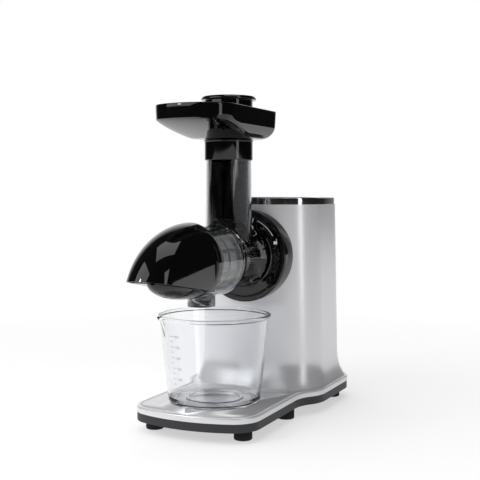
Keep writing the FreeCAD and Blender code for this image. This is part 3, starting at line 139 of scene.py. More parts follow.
def gloss_black_abs():
    """High-gloss injection-moulded ABS: near mirror, with a faint flow ripple."""
    return new_material("gloss_black_abs", {"IOR": 1.52},
                        "050506", "08080A", 30.0, (0.03, 0.06), (24.0, 0.012))


def smoke_clear_san():
    """Clear moulded SAN with a smoky tint, polished inside and out."""
    return new_material("smoky_clear_san", {"IOR": 1.53, "Transmission Weight": 1.0},
                        "C9CBCD", "CFD1D3", 20.0, (0.02, 0.04), (15.0, 0.006))


def jug_clear_san():
    """Clear SAN of the jug, with a faint cold tint."""
    return new_material("jug_clear_san", {"IOR": 1.5, "Transmission Weight": 1.0},
                        "F6F7F9", "F9FAFB", 20.0, (0.02, 0.04), (18.0, 0.006))


def chrome_plate():
    """Bright chrome plated on ABS."""
    return new_material("bright_chrome_plate", {"Metallic": 1.0}, "C8CACF", "D2D4D8", 12.0, (0.05, 0.10))


def dark_grey_abs():
    """Dark grey ABS moulded in a fine spark-eroded texture."""
    return new_material("dark_grey_textured_abs", {"IOR": 1.54},
                        "222326", "2A2B2E", 0.7, (0.45, 0.6), (0.6, 0.05))


def black_rubber():
    """Matte black TPE of feet and grommet."""
    return new_material("black_rubber", {"IOR": 1.5}, "141415", "1C1C1D", 1.2, (0.7, 0.85), (0.8, 0.05))


def brushed_steel():
    """Stainless steel with short drawn lines."""
    return new_material("brushed_stainless", {"Metallic": 1.0}, "8F9093", "A9AAAD", 0.8, (0.25, 0.4),
                        (0.5, 0.01), (1.0, 0.08, 1.0))


def black_auger_resin():
    """Dark brown-black glass-filled resin of the auger, satin from use."""
    return new_material("auger_resin", {"IOR": 1.55}, "17130F", "221C17", 2.0, (0.22, 0.35), (0.8, 0.02))


def white_print():
    """Pale pad-printed ink, a few hundredths of a millimetre thick."""
    return new_material("pale_pad_print", {"IOR": 1.5}, "F0F2F4", "F6F7F8", 0.6, (0.45, 0.6))


def grey_print():
    """Faint grey graduation print on the jug."""
    return new_material("grey_graduation_print", {"IOR": 1.5}, "B0B2B6", "BABCC0", 0.6, (0.5, 0.6))


def natural_nylon():
    """Uncoloured nylon of gears and bush: waxy, slightly yellow."""
    return new_material("natural_nylon", {"IOR": 1.53, "Subsurface Weight": 0.1},
                        "D8D2C0", "E2DCCB", 3.0, (0.4, 0.5))


def grey_housing():
    """Plain grey glass-filled nylon of the gearbox."""
    return new_material("grey_glass_nylon", {"IOR": 1.53},
                        "3A3C3F", "45474A", 1.5, (0.5, 0.65), (0.8, 0.03))


def sintered_bronze():
    """Porous oil-filled bronze of the bushes."""
    return new_material("sintered_bronze", {"Metallic": 1.0},
                        "8A6A3C", "A07C48", 0.6, (0.35, 0.5), (0.4, 0.02))


def board_laminate():
    """Green solder mask over glass laminate."""
    return new_material("green_board_laminate", {"IOR": 1.55}, "0F3B22", "14482A", 4.0, (0.3, 0.4))


def white_silicone():
    """Translucent white silicone of the seal."""
    return new_material("white_silicone", {"IOR": 1.41, "Subsurface Weight": 0.2},
                        "C9C8C4", "D4D3CF", 2.0, (0.5, 0.6))


def dark_ferrite():
    """Grey ferrite and varnished laminations inside the motor."""
    return new_material("dark_ferrite", {"IOR": 1.6}, "2B2B2E", "38383B", 1.0, (0.5, 0.6))


SILVER = satin_silver_paint()
BLACK = gloss_black_abs()
SMOKE = smoke_clear_san()
JUG_CLEAR = jug_clear_san()
CHROME = chrome_plate()
DARK = dark_grey_abs()
RUBBER = black_rubber()
STEEL = brushed_steel()
RESIN = black_auger_resin()
PRINT = white_print()
GREY_PRINT = grey_print()
NYLON = natural_nylon()
HOUSING = grey_housing()
BRONZE = sintered_bronze()
BOARD = board_laminate()
SILICONE = white_silicone()
FERRITE = dark_ferrite()


# mesh helpers
MERGE_DISTANCE = 2e-6
THINNEST_EDGE = 1e-6
SMOOTH_DEGREES, COPY_SHARP_DEGREES = 38, 32
BLOCK_FACES = ((0, 1, 3, 2), (4, 6, 7, 5), (0, 4, 5, 1), (2, 3, 7, 6), (0, 2, 6, 4), (1, 5, 7, 3))


def block_faces(base):
    """The six faces of a block whose eight corners start at point base, last direction fastest."""
    return [[base + corner for corner in face] for face in BLOCK_FACES]


def placed(name, data):
    """A new object in the scene, at the origin."""
    made = bpy.data.objects.new(name, data)
    bpy.context.scene.collection.objects.link(made)
    return made


def applied(made):
    """The object with its modifiers worked into its mesh."""
    bpy.context.view_layer.update()
    graph = bpy.context.evaluated_depsgraph_get()
    mesh = bpy.data.meshes.new_from_object(made.evaluated_get(graph))
    made.modifiers.clear()
    made.data = mesh
    return made


def carve(made, cutter):
    """Cuts one object out of another, and takes the cutter away."""
    cut = made.modifiers.new("cut", "BOOLEAN")
    cut.operation = "DIFFERENCE"
    cut.solver = "EXACT"
    cut.object = cutter
    applied(made)
    bpy.data.objects.remove(cutter)


def smooth(mesh, sharp_degrees):
    """Smooth shading, except at edges sharper than the angle."""
    mesh.shade_smooth()
    mesh.set_sharp_from_angle(angle=math.radians(sharp_degrees))


def finish_object(name, mesh, material, sharp_degrees=SMOOTH_DEGREES):
    """The object of a finished mesh, with its one material."""
    smooth(mesh, sharp_degrees)
    mesh.materials.clear()
    mesh.materials.append(material)
    return placed(name, mesh)


def piece(name, points, faces, material, sharp_degrees=SMOOTH_DEGREES):
    """A closed mesh with its normals outwards, smooth except at its real edges."""
    mesh = bpy.data.meshes.new(name)
    mesh.from_pydata([tuple(p) for p in points], [], faces)
    build = bmesh.new()
    build.from_mesh(mesh)
    bmesh.ops.remove_doubles(build, verts=build.verts, dist=MERGE_DISTANCE)
    bmesh.ops.recalc_face_normals(build, faces=build.faces)
    build.to_mesh(mesh)
    build.free()
    return finish_object(name, mesh, material, sharp_degrees)


def cad_copy(node, material, sharp_degrees=COPY_SHARP_DEGREES):
    """The CAD node's own form with merged points and smooth rounds; it stands for the node."""
    mesh = frame["nodes"][node].data.copy()
    build = bmesh.new()
    build.from_mesh(mesh)
    bmesh.ops.remove_doubles(build, verts=build.verts, dist=MERGE_DISTANCE)
    bmesh.ops.dissolve_degenerate(build, edges=build.edges, dist=THINNEST_EDGE)
    build.to_mesh(mesh)
    build.free()
    made = finish_object(node + "_finished", mesh, material, sharp_degrees)
    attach(made, frame["nodes"][node]["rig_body"])
    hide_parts(node)
    return made


SLIGHTEST_TURN = 0.05
CORNER_SHARE = 0.45


def rounded(outline, radius, steps=5, closed=True):
    """An outline of (r, h) points with every corner turned into an arc, as far as its sides allow."""
    count = len(outline)
    result = []
    for i, corner in enumerate(outline):
        here = Vector(corner)
        if not closed and i in (0, count - 1):
            result.append(here)
            continue
        before = Vector(outline[i - 1])
        after = Vector(outline[(i + 1) % count])
        arrive, leave = here - before, after - here
        if min(arrive.length, leave.length) < THINNEST_EDGE:
            continue
        turn = arrive.angle_signed(leave, 0.0)
        if abs(turn) < SLIGHTEST_TURN:
            result.append(here)
            continue
        reach = min(radius * math.tan(abs(turn) / 2), CORNER_SHARE * arrive.length,
                    CORNER_SHARE * leave.length)
        start = here - arrive.normalized() * reach
        end = here + leave.normalized() * reach
        for k in range(steps + 1):
            t = k / steps
            result.append(start * (1 - t) ** 2 + here * 2 * t * (1 - t) + end * t * t)
    return [(p.x, p.y) for p in result]


def ring_outline(inner, outer, front, back):
    """The (radius, height) outline of a plain ring."""
    return [(inner, front), (outer, front), (outer, back), (inner, back)]


SMALLEST_RING = 1e-4


def lathe(name, outline, material, centre, along="y", steps=144):
    """Turns (radius, height) points about an axis along y at height centre, or along z at y = centre."""
    points, rings = [], []
    for r, h in outline:
        ring = []
        for k in range(steps if r > SMALLEST_RING else 1):
            a = 2 * math.pi * k / steps
            if along == "y":
                points.append(at(r * math.cos(a), h, centre + r * math.sin(a)))
            else:
                points.append(at(r * math.cos(a), centre + r * math.sin(a), h))
            ring.append(len(points) - 1)
        rings.append(ring)
    faces = []
    for first, second in zip(rings, rings[1:] + rings[:1]):
        if len(first) == 1 and len(second) == 1:
            continue
        for k in range(steps):
            a = [first[k % len(first)], first[(k + 1) % len(first)]]
            b = [second[(k + 1) % len(second)], second[k % len(second)]]
            face = list(dict.fromkeys(a + b))
            if len(face) > 2:
                faces.append(face)
    return piece(name, points, faces, material)


def skin(name, rings, material, sharp_degrees):
    """Faces over rings of equal count, with the first and the last ring capped."""
    count = len(rings[0])
    points = [p for ring in rings for p in ring]
    faces = []
    for i in range(len(rings) - 1):
        low, high = i * count, (i + 1) * count
        for k in range(count):
            n = (k + 1) % count
            faces.append([low + k, low + n, high + n, high + k])
    faces.append(list(range(count)))
    faces.append([(len(rings) - 1) * count + k for k in range(count)])
    return piece(name, points, faces, material, sharp_degrees)


def plan(half, front, back, bow, front_radius, back_radius, steps=14):
    """Plan points of a form with a bowed front, round corners and a straight back, mm."""
    reach = half - front_radius
    corner_y = front + bow - math.sqrt(max(1.0, (bow - front_radius) ** 2 - reach ** 2))
    lean = math.atan2(reach, front + bow - corner_y)
    right = []
    for k in range(steps + 1):
        a = lean * k / steps
        right.append((bow * math.sin(a), front + bow - bow * math.cos(a)))
    for k in range(1, steps + 1):
        a = lean + (math.pi / 2 - lean) * k / steps
        right.append((reach + front_radius * math.sin(a), corner_y - front_radius * math.cos(a)))
    side_end = back - back_radius
    for k in range(1, steps + 1):
        right.append((half, corner_y + (side_end - corner_y) * k / steps))
    for k in range(1, steps + 1):
        a = math.pi / 2 * k / steps
        right.append((half - back_radius + back_radius * math.cos(a), side_end + back_radius * math.sin(a)))
    for k in range(1, steps + 1):
        right.append(((half - back_radius) * (1 - k / steps), back))
    left = [(-x, y) for x, y in reversed(right[1:-1])]
    return right + left


def settle(made, body, *nodes, slot=None):
    """Puts a piece on its body, in place of the CAD nodes named; the slot argument is not used."""
    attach(made, body)
    if nodes:
        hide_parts(*nodes)
    return made


# nose: a hood over a chin bowl, with lengths counted forwards from RING_Y, where it meets the clear drum
NOSE_LENGTH, RING_RADIUS = 109.7, 39.3
RING_Y = from_face(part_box("end_cap")[0].y) + NOSE_LENGTH
HOOD_HALF, HOOD_RISE, HOOD_MIDDLE = 52.8, 84.7, AXIS_Z - 38.7
CHEEK_LENGTH = NOSE_LENGTH + 6.0
CHEEK_TIP_HALF, CHEEK_TIP_RISE, CHEEK_TIP_DROP = 25.1, 93.6, 40.8
CHEEK_WIDTH_POWER, CHEEK_HEIGHT_POWER = 0.565, 0.436
LIP_SLOPE, LIP_TIP_Z = 0.18, AXIS_Z - 11.4
HOOD_LENGTH = NOSE_LENGTH / math.sqrt(1 - ((LIP_TIP_Z - HOOD_MIDDLE) / HOOD_RISE) ** 2)
BOWL_LENGTH, BOWL_HALF, BOWL_DEPTH, BOWL_MIDDLE = 85.0, 29.0, 25.0, AXIS_Z - 14.65
BOWL_EDGE_CLEAR, BOWL_LIP_OVERLAP, STEEPEST_BOWL = 0.4, 0.3, 0.98
NOSE_WALL, NOSE_SHARP_DEGREES, CREASE_RADIUS = 2.2, 45, 0.8
LIP_ROUND, LIP_EDGE_DEGREES = 0.6, 50
BAND_LENGTH, BAND_BORE, BAND_FLARE, BAND_ROUND, BAND_GAP = 9.0, 33.8, 0.1, 1.8, 0.2
SPIGOT_BORE, SPIGOT_RADIUS, SPIGOT_FRONT, SPIGOT_BACK = 34.0, 36.3, 3.0, 7.8
HUB_BORE, HUB_RADIUS, HUB_FRONT, HUB_BACK = 7.6, 10.0, 4.5, 0.6
SMALL_ROUND = 0.5
SPOKE_COUNT, FIRST_SPOKE_DEGREES = 3, 30
SPOKE_INNER, SPOKE_OUTER, SPOKE_HALF, SPOKE_FRONT, SPOKE_BACK = 9.0, 35.5, 2.4, 4.4, 0.7
FLOOR_STEPS, FLOOR_LIFT, FLOOR_END_CLEAR = 48, 0.1, 1.0
FLOOR_INTO_HOOD, FLOOR_INTO_BOWL, FLOOR_LEAST_WIDTH = 0.8, 1.2, 0.5


def lip_height(s):
    """The lip plane's height, s mm ahead of the ring."""
    return LIP_TIP_Z - LIP_SLOPE * (NOSE_LENGTH - s)


def oval_reach(cosine, sine, half, rise, lift):
    """How far a ray leaves an oval that it starts in, lift mm above the oval's middle."""
    if half <= 0 or rise <= 0:
        return 0.0
    qa = (cosine / half) ** 2 + (sine / rise) ** 2
    qb = sine * lift / rise ** 2
    qc = (lift / rise) ** 2 - 1
    return max(0.0, (-qb + math.sqrt(max(0.0, qb * qb - qa * qc))) / qa)


def hood_reach(s, angle, inset):
    """The hood's skin s mm ahead of the ring, from the lip plane's middle: dome and cheek, softly creased."""
    cosine, sine = math.cos(angle), math.sin(angle)
    level = lip_height(s)
    shrink = math.sqrt(max(0.0, 1 - (s / (HOOD_LENGTH - inset)) ** 2))
    dome = oval_reach(cosine, sine, (HOOD_HALF - inset) * shrink, (HOOD_RISE - inset) * shrink,
                      level - HOOD_MIDDLE)
    share = s / CHEEK_LENGTH
    half = RING_RADIUS + (CHEEK_TIP_HALF - RING_RADIUS) * share ** CHEEK_WIDTH_POWER - inset
    rise = RING_RADIUS + (CHEEK_TIP_RISE - RING_RADIUS) * share ** CHEEK_HEIGHT_POWER - inset
    cheek = oval_reach(cosine, sine, half, rise, level - AXIS_Z + CHEEK_TIP_DROP * share)
    low, gap = min(dome, cheek), abs(dome - cheek)
    return max(0.0, low - CREASE_RADIUS * math.log(1 + math.exp(-gap / CREASE_RADIUS)))


def hood_end(inset):
    """Where the hood's skin runs out in the lip plane, mm ahead of the ring."""
    s = NOSE_LENGTH
    for _ in range(30):
        rise = (lip_height(s) - HOOD_MIDDLE) / (HOOD_RISE - inset)
        s = (HOOD_LENGTH - inset) * math.sqrt(1 - rise ** 2)
    return s


def hood_rings(inset, across=160, along=110):
    """Open rings of the hood's skin from the clear drum's edge to the tip, from lip to lip."""
    rings = []
    end = hood_end(inset) - 0.02
    for i in range(along + 1):
        s = end * (0.5 - 0.5 * math.cos(math.pi * i / along))
        ring = []
        for k in range(across + 1):
            a = math.pi * k / across
            r = hood_reach(s, a, inset)
            ring.append(at(r * math.cos(a), RING_Y - s, lip_height(s) + r * math.sin(a)))
        rings.append(ring)
    return rings


def open_sheet_solid(name, outer, inner, material):
    """A walled shell between two open grids of equal size, closed at every border."""
    rows, cols = len(outer), len(outer[0])
    points = [p for ring in outer for p in ring] + [p for ring in inner for p in ring]
    half = rows * cols
    faces = []
    for i in range(rows - 1):
        for k in range(cols - 1):
            a = i * cols + k
            quad = [a, a + 1, a + cols + 1, a + cols]
            faces.append(quad)
            faces.append([half + q for q in reversed(quad)])
    border = ([(0, k) for k in range(cols)] + [(i, cols - 1) for i in range(1, rows)]
              + [(rows - 1, k) for k in range(cols - 2, -1, -1)] + [(i, 0) for i in range(rows - 2, 0, -1)])
    for (i0, k0), (i1, k1) in zip(border, border[1:] + border[:1]):
        a, b = i0 * cols + k0, i1 * cols + k1
        faces.append([a, half + a, half + b, b])
    return piece(name, points, faces, material, NOSE_SHARP_DEGREES)


def bowl_rings(inset, across=72, along=48):
    """The chin bowl's skin below the lip plane."""
    half, depth, length = BOWL_HALF - inset, BOWL_DEPTH - inset, BOWL_LENGTH - inset
    rings = []
    for i in range(along + 1):
        s = (length - BOWL_EDGE_CLEAR) * math.sin(math.pi / 2 * i / along)
        shrink = math.sqrt(1 - (s / length) ** 2)
        level = (BOWL_MIDDLE - lip_height(s) + BOWL_LIP_OVERLAP) / (depth * shrink)
        spread = math.acos(min(STEEPEST_BOWL, max(-STEEPEST_BOWL, level)))
        angles = [-spread + 2 * spread * k / across for k in range(across + 1)]
        rings.append([at(half * shrink * math.sin(a), RING_Y - s, BOWL_MIDDLE - depth * shrink * math.cos(a))
                      for a in angles])
    return rings


def bowl_half_at_lip(s):
    """Half the bowl's width in the lip plane, s mm ahead of the ring."""
    shrink = math.sqrt(max(0.0, 1 - (s / BOWL_LENGTH) ** 2))
    level = (BOWL_MIDDLE - lip_height(s)) / max(1e-6, BOWL_DEPTH * shrink)
    return BOWL_HALF * shrink * math.sqrt(max(0.0, 1 - level ** 2))


def make_nose():
    """The pulp nose: hood, bowl, lip floor, band, and the spigot, hub and spokes that go into the drum."""
    hood = open_sheet_solid("nose_hood", hood_rings(0.0), hood_rings(NOSE_WALL), BLACK)
    edge = hood.modifiers.new("lip_round", "BEVEL")
    edge.width = LIP_ROUND * MM
    edge.segments = 3
    edge.limit_method = "ANGLE"
    edge.angle_limit = math.radians(LIP_EDGE_DEGREES)
    bowl = open_sheet_solid("nose_bowl", bowl_rings(0.0), bowl_rings(NOSE_WALL), BLACK)
    front, back = RING_Y - BAND_LENGTH, RING_Y - BAND_GAP
    band_outline = [(RING_RADIUS, front), (RING_RADIUS + BAND_FLARE, back), (BAND_BORE, back),
                    (BAND_BORE, front)]
    band = lathe("nose_band", rounded(band_outline, BAND_ROUND), BLACK, AXIS_Z)
    spigot_outline = ring_outline(SPIGOT_BORE, SPIGOT_RADIUS, RING_Y - SPIGOT_FRONT, RING_Y + SPIGOT_BACK)
    spigot = lathe("nose_spigot", rounded(spigot_outline, SMALL_ROUND), BLACK, AXIS_Z)
    hub_outline = ring_outline(HUB_BORE, HUB_RADIUS, RING_Y - HUB_FRONT, RING_Y - HUB_BACK)
    hub = lathe("nose_hub", rounded(hub_outline, SMALL_ROUND), BLACK, AXIS_Z)
    settle(hood, "end_cap", "end_cap", slot="cap_black")
    for made in (bowl, make_nose_floor(), band, spigot, hub, make_nose_spokes()):
        settle(made, "end_cap", slot="cap_black")


def make_nose_floor():
    """The closed strips between the hood's lip and the bowl's rim, in the lip plane."""
    points, faces = [], []
    last = BOWL_LENGTH - FLOOR_END_CLEAR
    for side in (-1, 1):
        base = len(points)
        for i in range(FLOOR_STEPS + 1):
            s = last * i / FLOOR_STEPS
            wide = hood_reach(s, 0.0, FLOOR_INTO_HOOD)
            narrow = max(0.0, min(bowl_half_at_lip(s) - FLOOR_INTO_BOWL, wide - FLOOR_LEAST_WIDTH))
            for x in (wide, narrow):
                for lift in (FLOOR_LIFT, NOSE_WALL):
                    points.append(at(side * x, RING_Y - s, lip_height(s) + lift))
        for i in range(FLOOR_STEPS):
            a, b = base + 4 * i, base + 4 * (i + 1)
            faces += [[a, a + 2, b + 2, b], [a + 1, b + 1, b + 3, a + 3], [a, b, b + 1, a + 1],
                      [a + 2, a + 3, b + 3, b + 2]]
        faces += [[base, base + 1, base + 3, base + 2],
                  [base + 4 * FLOOR_STEPS + q for q in (0, 2, 3, 1)]]
    return piece("nose_floor", points, faces, BLACK)


def make_nose_spokes():
    """Straight arms from the front bush's hub out to the spigot."""
    points, faces = [], []
    for i in range(SPOKE_COUNT):
        turn = math.radians(FIRST_SPOKE_DEGREES - 360 / SPOKE_COUNT * i)
        along = (math.cos(turn), math.sin(turn))
        across = (-along[1], along[0])
        faces += block_faces(len(points))
        for r in (SPOKE_INNER, SPOKE_OUTER):
            for w in (-SPOKE_HALF, SPOKE_HALF):
                for y in (-SPOKE_FRONT, -SPOKE_BACK):
                    points.append(at(along[0] * r + across[0] * w, RING_Y + y,
                                     AXIS_Z + along[1] * r + across[1] * w))
    return piece("nose_spokes", points, faces, BLACK)


# hopper: a tray of level rings, with drops counted down from its rim, on a collar over the feed tube
TUBE_Y = from_face((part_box("pusher")[0].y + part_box("pusher")[1].y) / 2)
HOPPER_LOW, HOPPER_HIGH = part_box("hopper")
TRAY_RIM, COLLAR_LOW, TRAY_HALF = HOPPER_HIGH.z / MM, HOPPER_LOW.z / MM, HOPPER_HIGH.x / MM
TRAY_FRONT, TRAY_BACK = from_face(HOPPER_LOW.y), from_face(HOPPER_HIGH.y)
TRAY_DEPTH, TRAY_STRAIGHT = 34.5, 16.5
TRAY_FLOOR = TRAY_RIM - TRAY_DEPTH
TRAY_UNDER = TRAY_RIM - TRAY_STRAIGHT - TRAY_FLOOR
TRAY_UNDER_ROUND, TRAY_FRONT_RISE, TRAY_RISE_POWER = 13.0, 75.0, 1.3
TRAY_WALL, TRAY_DRAFT, TRAY_RIM_ROUND = 2.4, 0.6, 0.5
TRAY_BOW, TRAY_FRONT_CORNER, TRAY_BACK_CORNER = 70.0, 30.0, 12.0
FRONT_CORNER_SHRINK, BACK_CORNER_GROWTH = 0.8, 0.6
TRAY_SHARP_DEGREES = 50
COLLAR_BORE, COLLAR_RADIUS, COLLAR_ROUND = 27.9, 29.1, 0.6
NECK_BEAD_Z, BEAD_PROUD, BEAD_HALF, BEAD_SLOPE, BEAD_TOP = TRAY_RIM - 36.5, 0.8, 0.5, 0.5, 1.2
THROAT_RADIUS, THROAT_LOW, THROAT_CUT_PLAY, THROAT_CUT_BELOW, THROAT_CUT_ABOVE = 25.5, 335.4, 0.1, 12, 6
HOPPER_GAP = 0.2


def tray_ring(drop, inset, lift=0.0):
    """One level ring of the tray, drop mm below its rim."""
    fall = min(1.0, max(0.0, (drop - TRAY_STRAIGHT) / TRAY_UNDER))
    lean = TRAY_DRAFT * min(1.0, drop / TRAY_STRAIGHT)
    draw = TRAY_UNDER_ROUND * (1 - math.sqrt(1 - fall ** 2)) + lean
    rise = TRAY_FRONT_RISE * fall ** TRAY_RISE_POWER + lean
    outline = plan(TRAY_HALF - draw - inset, TRAY_FRONT + rise + inset, TRAY_BACK - draw - inset,
                   TRAY_BOW - inset - draw, TRAY_FRONT_CORNER - FRONT_CORNER_SHRINK * draw - inset,
                   TRAY_BACK_CORNER + BACK_CORNER_GROWTH * draw - inset)
    return [at(x, y, TRAY_RIM - drop + lift) for x, y in outline]


def make_hopper(side_steps=4, under_steps=24):
    """The feed tray with a round throat through its floor, and the collar under it."""
    drops = [TRAY_RIM_ROUND] + [TRAY_STRAIGHT * k / side_steps for k in range(1, side_steps + 1)]
    drops += [TRAY_STRAIGHT + TRAY_UNDER * math.sin(math.pi / 2 * k / under_steps)
              for k in range(1, under_steps + 1)]
    rings = [tray_ring(drop, 0.0) for drop in reversed(drops)]
    rings += [tray_ring(0.0, TRAY_RIM_ROUND), tray_ring(0.0, TRAY_WALL - TRAY_RIM_ROUND)]
    rings += [tray_ring(drop, TRAY_WALL, TRAY_WALL * (drop > TRAY_RIM_ROUND)) for drop in drops]
    tray = skin("hopper_tray", rings, BLACK, TRAY_SHARP_DEGREES)
    top = TRAY_FLOOR + TRAY_WALL
    neck, bead = COLLAR_RADIUS - BEAD_PROUD, COLLAR_RADIUS + BEAD_PROUD
    collar = [(COLLAR_BORE, COLLAR_LOW), (COLLAR_RADIUS, COLLAR_LOW),
              (COLLAR_RADIUS, NECK_BEAD_Z - BEAD_HALF - BEAD_SLOPE), (bead, NECK_BEAD_Z - BEAD_HALF),
              (bead, NECK_BEAD_Z + BEAD_HALF), (neck, NECK_BEAD_Z + BEAD_TOP),
              (neck - HOPPER_GAP, top - HOPPER_GAP), (THROAT_RADIUS, top - HOPPER_GAP),
              (THROAT_RADIUS, THROAT_LOW), (COLLAR_BORE, THROAT_LOW)]
    made = lathe("hopper_collar", rounded(collar, COLLAR_ROUND), BLACK, TUBE_Y, "z")
    cut_radius = THROAT_RADIUS + THROAT_CUT_PLAY
    low, high = top - THROAT_CUT_BELOW, top + THROAT_CUT_ABOVE
    opening = lathe("tray_floor_cut", [(cut_radius, low), (cut_radius, high), (0, high), (0, low)], BLACK,
                    TUBE_Y, "z")
    carve(tray, opening)
    settle(tray, "hopper", "hopper", slot="black")
    settle(made, "hopper", slot="black")


# pusher: a hollow stem in the tube, with a wider head that stands on the tray's floor
PUSHER_STEM, PUSHER_STEM_BORE, PUSHER_FLOOR = 24.0, 21.6, 3.0
PUSHER_SHOULDER, PUSHER_HEAD, PUSHER_HEAD_BORE = 27.0, 29.0, 26.8
PUSHER_GAP, PUSHER_SHELF, PUSHER_ROUND = 0.3, 2.4, 1.0
RIM_HEIGHT, RIM_UNDERCUT, RIM_SIDE, RIM_FACE, RIM_FILLET, RIM_BEVEL = 4.6, 4.2, 2.2, 1.6, 0.6, 1.0
SHOULDER_BEVEL, MOUTH_BEVEL = 2, 2


def make_pusher():
    """The pusher, turned about the feed tube's axis from the middle of its foot to the inside of its floor."""
    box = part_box("pusher")
    low, top, rim = box[0].z / MM, box[1].z / MM, box[1].x / MM
    seat = TRAY_FLOOR + TRAY_WALL + PUSHER_GAP
    outline = [(0, low), (PUSHER_STEM, low), (PUSHER_STEM, seat), (PUSHER_SHOULDER, seat),
               (PUSHER_HEAD, seat + SHOULDER_BEVEL), (PUSHER_HEAD, top - RIM_HEIGHT),
               (PUSHER_HEAD + RIM_FILLET, top - RIM_HEIGHT + RIM_BEVEL), (rim, top - RIM_UNDERCUT),
               (rim, top - RIM_SIDE), (rim - RIM_FACE, top), (PUSHER_HEAD_BORE + RIM_FILLET, top),
               (PUSHER_HEAD_BORE, top - MOUTH_BEVEL), (PUSHER_HEAD_BORE, seat + PUSHER_SHELF),
               (PUSHER_STEM_BORE, seat + PUSHER_SHELF), (PUSHER_STEM_BORE, low + PUSHER_FLOOR),
               (0, low + PUSHER_FLOOR)]
    made = lathe("pusher_moulding", rounded(outline, PUSHER_ROUND, closed=False), BLACK, TUBE_Y, "z")
    settle(made, "pusher", "pusher", slot="cap_black")


# drum and strainer
DRUM_SHARP_DEGREES = 30
STRAINER_OUTER, STRAINER_INNER = 33.4, 31.8
STRAINER_FRONT_BAND, STRAINER_BACK_BAND, STRAINER_BACK_PROUD, STRAINER_MIDDLE_HALF = 5.0, 6.0, 2.5, 2.0
MESH_UNDER, MESH_OVER_BORE, MESH_FRONT, MESH_BACK = 0.5, 0.3, 3.0, 4.0
RIB_COUNT, RIB_HALF, RIB_END_CLEAR, RIB_OVER_BORE, RIB_PROUD = 8, 2.2, 2.0, 0.1, 0.3


def make_drum():
    """The clear drum keeps its CAD form, walls, neck, nozzle and bayonet lugs."""
    cad_copy("juicing_drum", SMOKE, DRUM_SHARP_DEGREES)


def make_strainer():
    """Dark frame with windows of fine stainless mesh, as it shows through the drum."""
    low, high = (from_face(corner.y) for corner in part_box("strainer"))
    middle = (low + high) / 2
    mesh_outline = ring_outline(STRAINER_INNER + MESH_OVER_BORE, STRAINER_OUTER - MESH_UNDER,
                                low + MESH_FRONT, high - MESH_BACK)
    settle(lathe("strainer_mesh", mesh_outline, STEEL, AXIS_Z), "drum", "strainer", slot="steel")
    bands = ((low, low + STRAINER_FRONT_BAND, STRAINER_OUTER),
             (middle - STRAINER_MIDDLE_HALF, middle + STRAINER_MIDDLE_HALF, STRAINER_OUTER),
             (high - STRAINER_BACK_BAND, high, STRAINER_OUTER + STRAINER_BACK_PROUD))
    for front, back, radius in bands:
        outline = rounded(ring_outline(STRAINER_INNER, radius, front, back), SMALL_ROUND)
        settle(lathe("strainer_band", outline, RESIN, AXIS_Z), "drum", slot="auger_plastic")
    points, faces = [], []
    for i in range(RIB_COUNT):
        turn = 2 * math.pi * (i + 0.5) / RIB_COUNT
        faces += block_faces(len(points))
        for y in (low + RIB_END_CLEAR, high - RIB_END_CLEAR):
            for r in (STRAINER_INNER + RIB_OVER_BORE, STRAINER_OUTER + RIB_PROUD):
                for w in (-RIB_HALF, RIB_HALF):
                    a = turn + w / r
                    points.append(at(r * math.cos(a), y, AXIS_Z + r * math.sin(a)))
    settle(piece("strainer_ribs", points, faces, RESIN), "drum", slot="auger_plastic")


# flange, from its bore outwards: inner ridge, the ring set back for the marks, outer ridge and edge
FLANGE_BORE, FLANGE_BORE_EDGE, SOCKET_DEPTH = 34.4, 1.6, 20.0
INNER_RIDGE, MARKS_INNER, MARKS_OUTER, OUTER_RIDGE, MARKS_DEPTH = 38.5, 39.5, 50.5, 52.5, 1.2
CUP_RADIUS, CUP_DEPTH, SHAFT_HOLE = 41.0, 22.8, 14.6
FLANGE_EDGE_PLAY, FLANGE_ROUND, FLANGE_STEPS = 0.05, 2.2, 200


def make_flange():
    """The round face on the tower that the drum locks into, with the cup behind it."""
    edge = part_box("flange")[1].x / MM - FLANGE_EDGE_PLAY
    back = from_face(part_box("flange")[1].y)
    outline = [(FLANGE_BORE, SOCKET_DEPTH), (FLANGE_BORE, FLANGE_BORE_EDGE), (INNER_RIDGE, 0.0),
               (MARKS_INNER, MARKS_DEPTH), (MARKS_OUTER, MARKS_DEPTH), (OUTER_RIDGE, 0.0), (edge, 0.0),
               (edge, back), (CUP_RADIUS, back), (CUP_RADIUS, CUP_DEPTH), (SHAFT_HOLE, CUP_DEPTH),
               (SHAFT_HOLE, SOCKET_DEPTH)]
    made = lathe("flange_moulding", rounded(outline, FLANGE_ROUND), BLACK, AXIS_Z, steps=FLANGE_STEPS)
    settle(made, "base", "flange", slot="black")


def strip(name, path, width, face_y, material, thick=0.12):
    """A flat printed line along (x, z) points, just proud of a face."""
    points, faces = [], []
    for i, (x, z) in enumerate(path):
        before = Vector(path[max(0, i - 1)])
        after = Vector(path[min(len(path) - 1, i + 1)])
        way = (after - before).normalized()
        side = Vector((-way.y, way.x)) * width / 2
        for sign in (-1, 1):
            for lift in (0.0, -thick):
                points.append(at(x + sign * side.x, face_y + lift, z + sign * side.y))
    for i in range(len(path) - 1):
        a, b = 4 * i, 4 * (i + 1)
        faces += [[a, b, b + 1, a + 1], [a + 1, b + 1, b + 3, a + 3], [a + 3, b + 3, b + 2, a + 2],
                  [a + 2, b + 2, b, a]]
    end = 4 * (len(path) - 1)
    faces += [[0, 1, 3, 2], [end, end + 2, end + 3, end + 1]]
    return piece(name, points, faces, material)


def ring_point(radius, degrees):
    """An (x, z) point at a radius and bearing about the drum's axis."""
    a = math.radians(degrees)
    return radius * math.cos(a), AXIS_Z + radius * math.sin(a)


